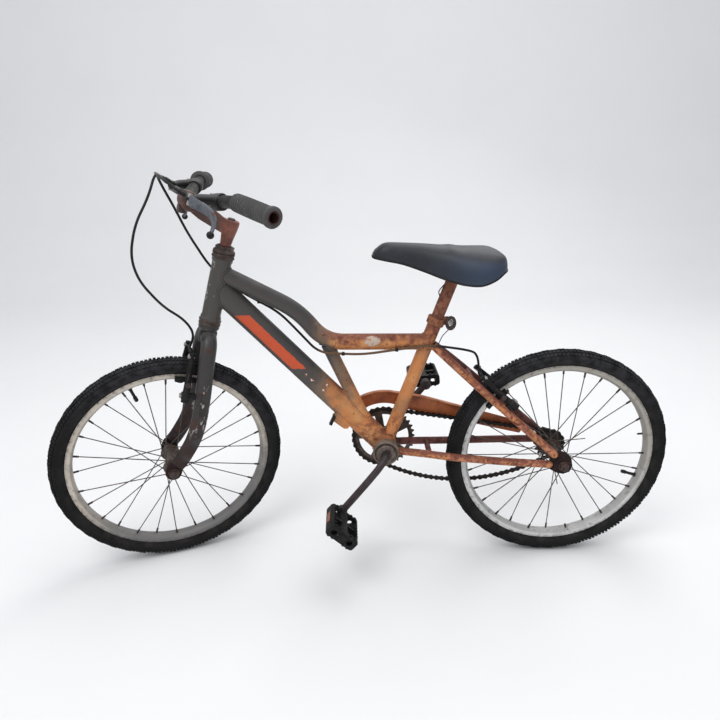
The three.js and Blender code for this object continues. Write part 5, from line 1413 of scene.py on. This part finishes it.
# Stem column from the nut up: height, middle along, half length, half width
STEM_COLUMN = [
    (89.2, 0, 10.4, 10.6), (92, 0, 10.8, 11), (104, 0.6, 12.4, 11.8), (118, 1.6, 14.4, 12.6),
    (130, 2.6, 15.6, 13), (136, 3, 15.8, 13), (139, 2.8, 15, 12.4), (140.4, 2.6, 13, 10.6),
]
STEM_BEAM = [
    (4, 139), (-10, 141), (-40, 156.5), (-70, 172), (-80, 168), (-87, 158), (-86, 150), (-78, 141),
    (-62, 132), (-30, 120), (-8, 112), (4, 118),
]
STEM_HALF_W = 12.4
STEM_CLAMP = {"half": 22, "r": 18, "eased": 16.6, "share": 0.06}
STEM_BOLT = {"ends": [(2, 0, 139), (2, 0, 144)], "r": 7.4}
BINDER_BLOCK = {"x": (-101, -86), "half": 9, "z": (136, 150)}
BINDER = {"x": -95, "z": 143, "from": 9, "to": 14, "r": 6.6}
column_rings = []
for z, x, a, b in smooth_rows(STEM_COLUMN, 3):
    column_rings.append([(x + p, q, z) for p, q in oval(a, b, 40)])
half, r, eased, share = STEM_CLAMP.values()
bar_clamp = placed(eased_bar((0, -half, 0), (0, half, 0), r, eased, share, 40), CLAMP_PLACE)
block_x, block_half, block_z = BINDER_BLOCK.values()
binder_block = box(*block_x, -block_half, block_half, *block_z)
stem_beam = plate(STEM_BEAM, -STEM_HALF_W, STEM_HALF_W)
stem_shapes = [loft(column_rings), stem_beam, bar_clamp, binder_block]
for side, _ in SIDES:
    binder_ends = [(BINDER["x"], side * BINDER[key], BINDER["z"]) for key in ("from", "to")]
    stem_shapes.append((hex_nut(*binder_ends, BINDER["r"]), "steel"))
stem_shapes.append((hex_nut(*STEM_BOLT["ends"], STEM_BOLT["r"]), "headset"))
piece("stem_rusty", stem_shapes, ON_STEM, "stem_rust", "stem", 2.2)

BAR_CORNERS = [(0, 0, 0), (2, 40, 1), (44, 150, 29), (80, 265, 27)]
BORE_R = 9.1
BORE_PROFILE = [(0, BAR_R), (0, BORE_R), (1, BORE_R)]


def along_bar(side, share):
    """A point on the bar's straight outer part."""
    inner, outer = mirrored(BAR_CORNERS[2:], side)
    return inner.lerp(outer, share)


bar_left = reversed(mirrored(BAR_CORNERS[1:], -1))
bar_points = bent([*bar_left, *BAR_CORNERS], 34, 12)
bar_shapes = [sweep(bar_points, lambda t: oval(BAR_R, BAR_R, 32), caps=False)]
for side, _ in SIDES:
    # The bore's mouth stays open
    points, faces = ridged(along_bar(side, 1), along_bar(side, 0.5), BORE_PROFILE, 32)
    bar_shapes.append(((points, [*faces[:-2], faces[-1]]), "bore"))
piece("handlebar_worn", bar_shapes, ON_BAR, "bar", "handlebar")

GRIP_RUN = (0.08, 0.997)
GRIP_RINGS = 15
GRIP_BORE_R = 11.4
GRIP_SWELL = (15.1, 0.5)
# One ring of the grip: share of its length, offset from the swell
GRIP_RING = [(0, -1.9), (0.25, 0.5), (0.62, 0.5), (0.88, -1.9)]
GRIP_COLLAR = [
    (0.925, 15.2), (0.932, 16.8), (0.945, 17.8), (0.98, 17.8), (0.994, 16.9), (1, 15.4), (1, 11.3),
]
# Inner end, start and length of the rings; the right grip keeps a disc
GRIP_ENDS = {
    "left": ([(0, 14.6), (0.01, 15.4)], 0.02, 0.90),
    "right": ([(0, 18.8), (0.012, 20), (0.045, 20), (0.056, 18.8), (0.062, 15.4)], 0.075, 0.845),
}
for side, name in SIDES:
    inner_end, first, length = GRIP_ENDS[name]
    step = length / GRIP_RINGS
    profile = [(0, GRIP_BORE_R), *inner_end]
    for k in range(GRIP_RINGS):
        swell = GRIP_SWELL[0] + GRIP_SWELL[1] * math.sin(math.pi * (k + 0.5) / GRIP_RINGS)
        profile += [(first + (k + share) * step, swell + offset) for share, offset in GRIP_RING]
    grip_ends = [along_bar(side, share) for share in GRIP_RUN]
    points, faces = ridged(*grip_ends, [*profile, *GRIP_COLLAR], 40)
    node = "grip_" + name
    piece("grip_ringed_" + name, [(points, faces[:-2])], ON_BAR, "grip", node, smooth=50)

LEVER_SHARE = 72 / 110
LEVER_CLAMP = {"half": 11, "r": 15, "eased": 13.6, "share": 0.1}
LEVER_ROOT = {"along": 8, "shift": (-4, 0, 2)}
LEVER_BOLT = {"x": -14, "low": -9, "high": 12, "r": 4.2}
LEVER_BODY = [(-8, 103, 15), (-16, 96, 14)]
HOOD = {"at": (-17, 99, 13), "r": 8.2, "squash": 0.9}
PIVOT = {"at": (-18, 102, 12), "half": 10, "r": 4.6}
ADJUSTER = [(-14, 98, 14), (-42, 80, 25)]
BLADE = [(-18, 100, 12), (-14, 124, 10), (6, 150, 5), (14, 170, -5), (10, 184, -18), (6, 191, -28)]
# How far back and down the end of each blade is bent
DROOP = {"left": (0, 0), "right": (29, -26)}
BARREL = [(0, 5), (0.35, 5)]
for k in range(6):
    BARREL += [(0.38 + 0.06 * k, 5.9), (0.42 + 0.06 * k, 5.2)]
BARREL += [(0.76, 4.6), (0.97, 4.3), (1, 3.4)]


def drooped(name):
    """The blade's line, with its end bent back and down."""
    back, down = DROOP[name]
    first, last = BLADE[0][1], BLADE[-1][1]
    shares = [((y - first) / (last - first)) ** 2 for _, y, _ in BLADE]
    return [(x + back * t, y, z + down * t) for (x, y, z), t in zip(BLADE, shares)]


def lever_bracket(side):
    inner, outer = mirrored(BAR_CORNERS[1:3], side)
    seat = inner.lerp(outer, LEVER_SHARE)
    bend = (outer - inner).normalized()
    half, r, eased, share = LEVER_CLAMP.values()
    hood, pivot = mirrored([HOOD["at"], PIVOT["at"]], side)
    up = Vector((0, 0, PIVOT["half"]))
    root = seat + bend * LEVER_ROOT["along"] + Vector(LEVER_ROOT["shift"])
    body_line = [root, *mirrored(LEVER_BODY, side)]
    bolt_ends = [seat + Vector((LEVER_BOLT["x"], 0, LEVER_BOLT[key])) for key in ("low", "high")]
    return [
        eased_bar(seat - bend * half, seat + bend * half, r, eased, share, 36),
        sweep(bent(body_line, 8, 6), lambda t: oval(8.6 - 1.6 * t, 9.6 - 3 * t, 24)),
        ball(hood, HOOD["r"], HOOD["squash"], 24), ridged(*mirrored(ADJUSTER, side), BARREL, 24),
        (hex_nut(pivot - up, pivot + up, PIVOT["r"]), "zinc"),
        (hex_nut(*bolt_ends, LEVER_BOLT["r"]), "zinc"),
    ]


for side, name in SIDES:
    node = "lever_bracket_" + name
    piece("lever_bracket_bolted_" + name, lever_bracket(side), ON_BAR, "bracket", node)
    blade_line = bent(mirrored(drooped(name), side), 14)
    blade = sweep(blade_line, lambda t: oval(9.5 - 3.2 * t, 3.2 - 0.3 * t, 24))
    blade_shapes = [blade, (ball(blade_line[-1], 6.4), "plastic")]
    piece("lever_blade_" + name, blade_shapes, ON_BAR, "lever", "brake_lever_" + name)


# Rim brakes, drawn with the wheel's axle at the origin and Z along the leg or stay

# Heights of the arm's foot and knee, how far it leans in at the pad, and its elbow's y and height
BRAKE_BENDS = {"foot": 166, "knee": 182, "lean": 4, "elbow": (35, 240)}
BRAKE_SPRING = {"x": 3, "r": 0.9, "low": (6, -8), "high": (3, 232)}
BRAKE = {"boss": 180, "pad": 206, "anchor": 260, "top": 268, "anchor_y": 33}
PAD = {"gap": 5, "thick": 9, "half": 27, "curve": 0.002}
PAD_SECTION = [(-4.4, -4.6), (4.4, -4.6), (4.4, 4.6), (-4.4, 4.6)]
PAD_POST = [(0, 4), (0.5, 4), (0.52, 6.4), (0.62, 6.4), (0.64, 3.4), (1, 3.4)]
BRAKE_BOSS = [(0, 7.2), (0.5, 7.2), (0.55, 9), (0.9, 9), (1, 8)]
# Brakes: name, carrier, side of the leg or stay, distance from it, seat across, boss's reach
BRAKES = [
    ("front", (FRONT_WHEEL, "steering"), -1, 6, 48, 20),
    ("rear", (REAR_BRAKE, "frame"), 1, 25, 42, 16),
]


def brake_arm(side, face, seat_x, seat_y, boss_reach):
    at = face * seat_x
    boss_z, pad_z, anchor_z, top_z, anchor_y = BRAKE.values()

    def point(x, y, z):
        return Vector((at + face * x, side * y, z))

    foot, knee, lean, elbow = BRAKE_BENDS.values()
    bends = [(seat_y, foot), (seat_y, knee), (seat_y - lean, pad_z), elbow, (anchor_y, top_z)]
    line = [point(0, y, z) for y, z in bends]
    arm = sweep(bent(line, 14), lambda t: oval(6.6 - 2.4 * t, 8.2 - 2.6 * t, 24))
    boss = ridged(point(-boss_reach, seat_y, boss_z), point(9, seat_y, boss_z), BRAKE_BOSS, 28)
    bolt = hex_nut(point(9, seat_y, boss_z), point(13, seat_y, boss_z), 5.4)
    x, r, low, high = BRAKE_SPRING.values()
    spring = tube([point(x, seat_y + low[0], boss_z + low[1]), point(x, seat_y + high[0], high[1])], r, 8)
    inner = RIM_HALF_W + PAD["gap"]
    shoe = []
    for k in range(13):
        x = at * 0.4 - PAD["half"] + 2 * PAD["half"] * k / 12
        shoe.append((x, side * (inner + PAD["thick"] / 2), pad_z - 1 - PAD["curve"] * x ** 2))
    pad = sweep(shoe, lambda t: PAD_SECTION)
    post = ridged(point(0, inner + PAD["thick"] - 2, pad_z), point(0, seat_y + 8, pad_z), PAD_POST, 20)
    pad_nut = hex_nut(point(0, seat_y + 3, pad_z), point(0, seat_y + 9, pad_z), 5.8)
    anchor = hex_nut(point(-5, anchor_y, anchor_z), point(8, anchor_y, anchor_z), 4.4)
    steel = [(shape, "steel") for shape in (post, pad_nut)]
    return [arm, boss, (bolt, "zinc"), (spring, "steel"), pad, *steel, (anchor, "zinc")]


for name, carrier, *sizes in BRAKES:
    for side, side_name in SIDES:
        node = f"{name}_brake_arm_{side_name}"
        shapes = brake_arm(side, *sizes)
        piece(node + "_bolted", shapes, carrier, "plastic", node, 0.6)


# Brake cables: casings held along the bicycle, and the slack span from the bar to the frame

CABLE_R = 2.5
WIRE_R = 1.2
# The bare wire's end, the casing's turn and the wire's other end, across a brake
WIRE_Y = (-27, 8, 27)
WIRE_DROP = 6
BOOT_FOLDS = 7
FRONT_WIRE_X = -6
REAR_WIRE_X = 25
FRONT_ROUTE = [
    (-150, 38, 146), (-168, 20, 90), (-168, 8, 32), (-146, 6, -12), (-95, 0, -54), (-52, -4, -72),
    (-27, -8, -98),
]
SLACK_ROUTE = [(-808, -36, 846), (-804, -12, 818), (-792, 4, 783), (-773, 10, 734), (-738, 24, 664)]
CABLE_CLIP = (-700, 24, 628)
REAR_ROUTE = [
    (-660, 8, 606), (-600, 0, 574.5), (-556, -10, 530), (-520, -18.5, 492), (-430, -19, 488),
    (-291, -20.5, 508), (-214, -15, 495), (-190, -6, 484),
]
# Ties round the rear casing: x, y, z, half length
CABLE_TIES = [(-700, 24, 628, 4), (-640, 5.4, 595, 3), (-470, -18.8, 489.8, 3), (-360, -19.8, 497.8, 3)]
TIE_R = 4
FERRULE = [(0, 3.5), (0.8, 3.5), (0.85, 2.975), (1, 2.8)]


def between(source, target, point):
    """A point in millimetres of one frame, in another frame's millimetres."""
    return (target.inverted() @ source @ (Vector(point) * MM)) / MM


def lever_end(side, target):
    a, b = mirrored(ADJUSTER, side)
    return [between(BAR, target, a.lerp(b, share)) for share in (1.0, 1.5)]


def casing(corners):
    return tube(bent(corners, 26), CABLE_R, 14)


def wire_line(source, target, x):
    return [between(source, target, (x, y, BRAKE["top"] - WIRE_DROP)) for y in WIRE_Y]


def brake_wire(line):
    """The bare wire between a brake's arms, with small bellows over a part of it."""
    far, middle, near = line
    profile = [(0, 2.4)]
    for k in range(BOOT_FOLDS):
        profile += [((k + 0.3) / BOOT_FOLDS, 4.8), ((k + 0.8) / BOOT_FOLDS, 3.4)]
    boot = ridged(middle.lerp(far, 0.1), far.lerp(middle, 0.25), [*profile, (1, 2.2)], 18)
    return [(tube([far, near], WIRE_R, 10), "steel"), boot]


front_wire = wire_line(FRONT_WHEEL, STEERING, FRONT_WIRE_X)
front_start = lever_end(1, STEERING)
front_casing = casing([*front_start, *FRONT_ROUTE, *front_wire[1:]])
front_shapes = [front_casing, (ridged(*front_start, FERRULE, 18), "zinc"), *brake_wire(front_wire)]
piece("front_cable_casing", front_shapes, ON_FORK, "casing", "front_brake_cable")

slack_line = [*lever_end(-1, BIKE), *SLACK_ROUTE, CABLE_CLIP]
slack_shape = placed(casing(slack_line), BIKE)
node = "steering_cable_slack"
still = (Matrix.Identity(4), None)
slack = piece("steering_cable_casing", [slack_shape], still, "casing", node)
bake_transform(slack)

rear_wire = wire_line(REAR_BRAKE, BIKE, REAR_WIRE_X)
past_clip = [Vector(SLACK_ROUTE[-1]).lerp(Vector(CABLE_CLIP), share) for share in (1.0, 1.25)]
rear_shapes = [casing([*past_clip, *REAR_ROUTE, *rear_wire[1:]]), *brake_wire(rear_wire)]
for x, y, z, half in CABLE_TIES:
    rear_shapes.append((tube([(x - half, y, z), (x + half, y, z)], TIE_R, 14), "casing"))
piece("rear_cable_casing", rear_shapes, ON_FRAME, "rear_casing", "rear_brake_cable")


# Stage in metres: a pale floor that curves up behind, soft light, and the camera

FLOOR = {"half": 7, "front": -4.0, "bend_y": 2.2, "bend_r": 1.2, "top": 6.0}
FLOOR_ANGLES = (0.2, 0.5, 0.8, 1.1, 1.4, 1.57)
MIDDLE = (-0.15, 0, -0.35)
# Lights: name, place, size, power
LIGHTS = [
    ("key_light", (-1.4, -1.8, 2.6), 2.2, 62),
    ("top_light", (0.6, 0.4, 3.0), 2.6, 48),
    ("far_light", (0.8, 2.0, 1.6), 1.8, 14),
]
ROOM = {"Color": (0.93, 0.95, 1.0, 1), "Strength": 0.62}
CAMERA = {
    "place": (-461.514, -1224.698, 906.616), "yaw": 0.022, "pitch": 0.343, "roll": 0.001, "lens": 31.014,
    "sensor": 36,
}


def stage():
    half, front, bend_y, bend_r, top = FLOOR.values()
    bend = [(bend_y + bend_r * math.sin(a), bend_r - bend_r * math.cos(a)) for a in FLOOR_ANGLES]
    line = [(front, 0), (bend_y, 0), *bend, (bend_y + bend_r, top)]
    rings = [[(-half, y, FLOOR_Z + z), (half, y, FLOOR_Z + z)] for y, z in line]
    points, faces = loft(rings, caps=False, closed=False)
    mesh = bpy.data.meshes.new("pale_floor")
    mesh.from_pydata(points, [], faces)
    mesh.shade_smooth()
    look = Look("pale_floor", (0.80, 0.80, 0.80), 0.7)
    look.mottle(2.2, 0.40, 0.70, (0.76, 0.76, 0.765), None, 0.25, 3)
    mesh.materials.append(look.finish())
    add_object("pale_floor", mesh)


def light(name, place, size, power):
    data = bpy.data.lights.new(name, "AREA")
    data.shape = "DISK"
    data.size = size
    data.energy = power
    lamp = add_object(name, data)
    lamp.location = place
    lamp.rotation_euler = (Vector(MIDDLE) - Vector(place)).to_track_quat("-Z", "Y").to_euler()


stage()
for row in LIGHTS:
    light(*row)
world = bpy.data.worlds.new("soft_room")
world.use_nodes = True
for key, value in ROOM.items():
    world.node_tree.nodes["Background"].inputs[key].default_value = value
bpy.context.scene.world = world
bpy.context.scene.view_settings.view_transform = "Standard"

camera_data = bpy.data.cameras.new("photo_camera")
camera_data.lens = CAMERA["lens"]
camera_data.sensor_width = CAMERA["sensor"]
camera = add_object("photo_camera", camera_data)
camera.location = BIKE @ (Vector(CAMERA["place"]) * MM)
camera.rotation_euler = (math.pi / 2 - CAMERA["pitch"], CAMERA["roll"], -CAMERA["yaw"])
bpy.context.scene.camera = camera
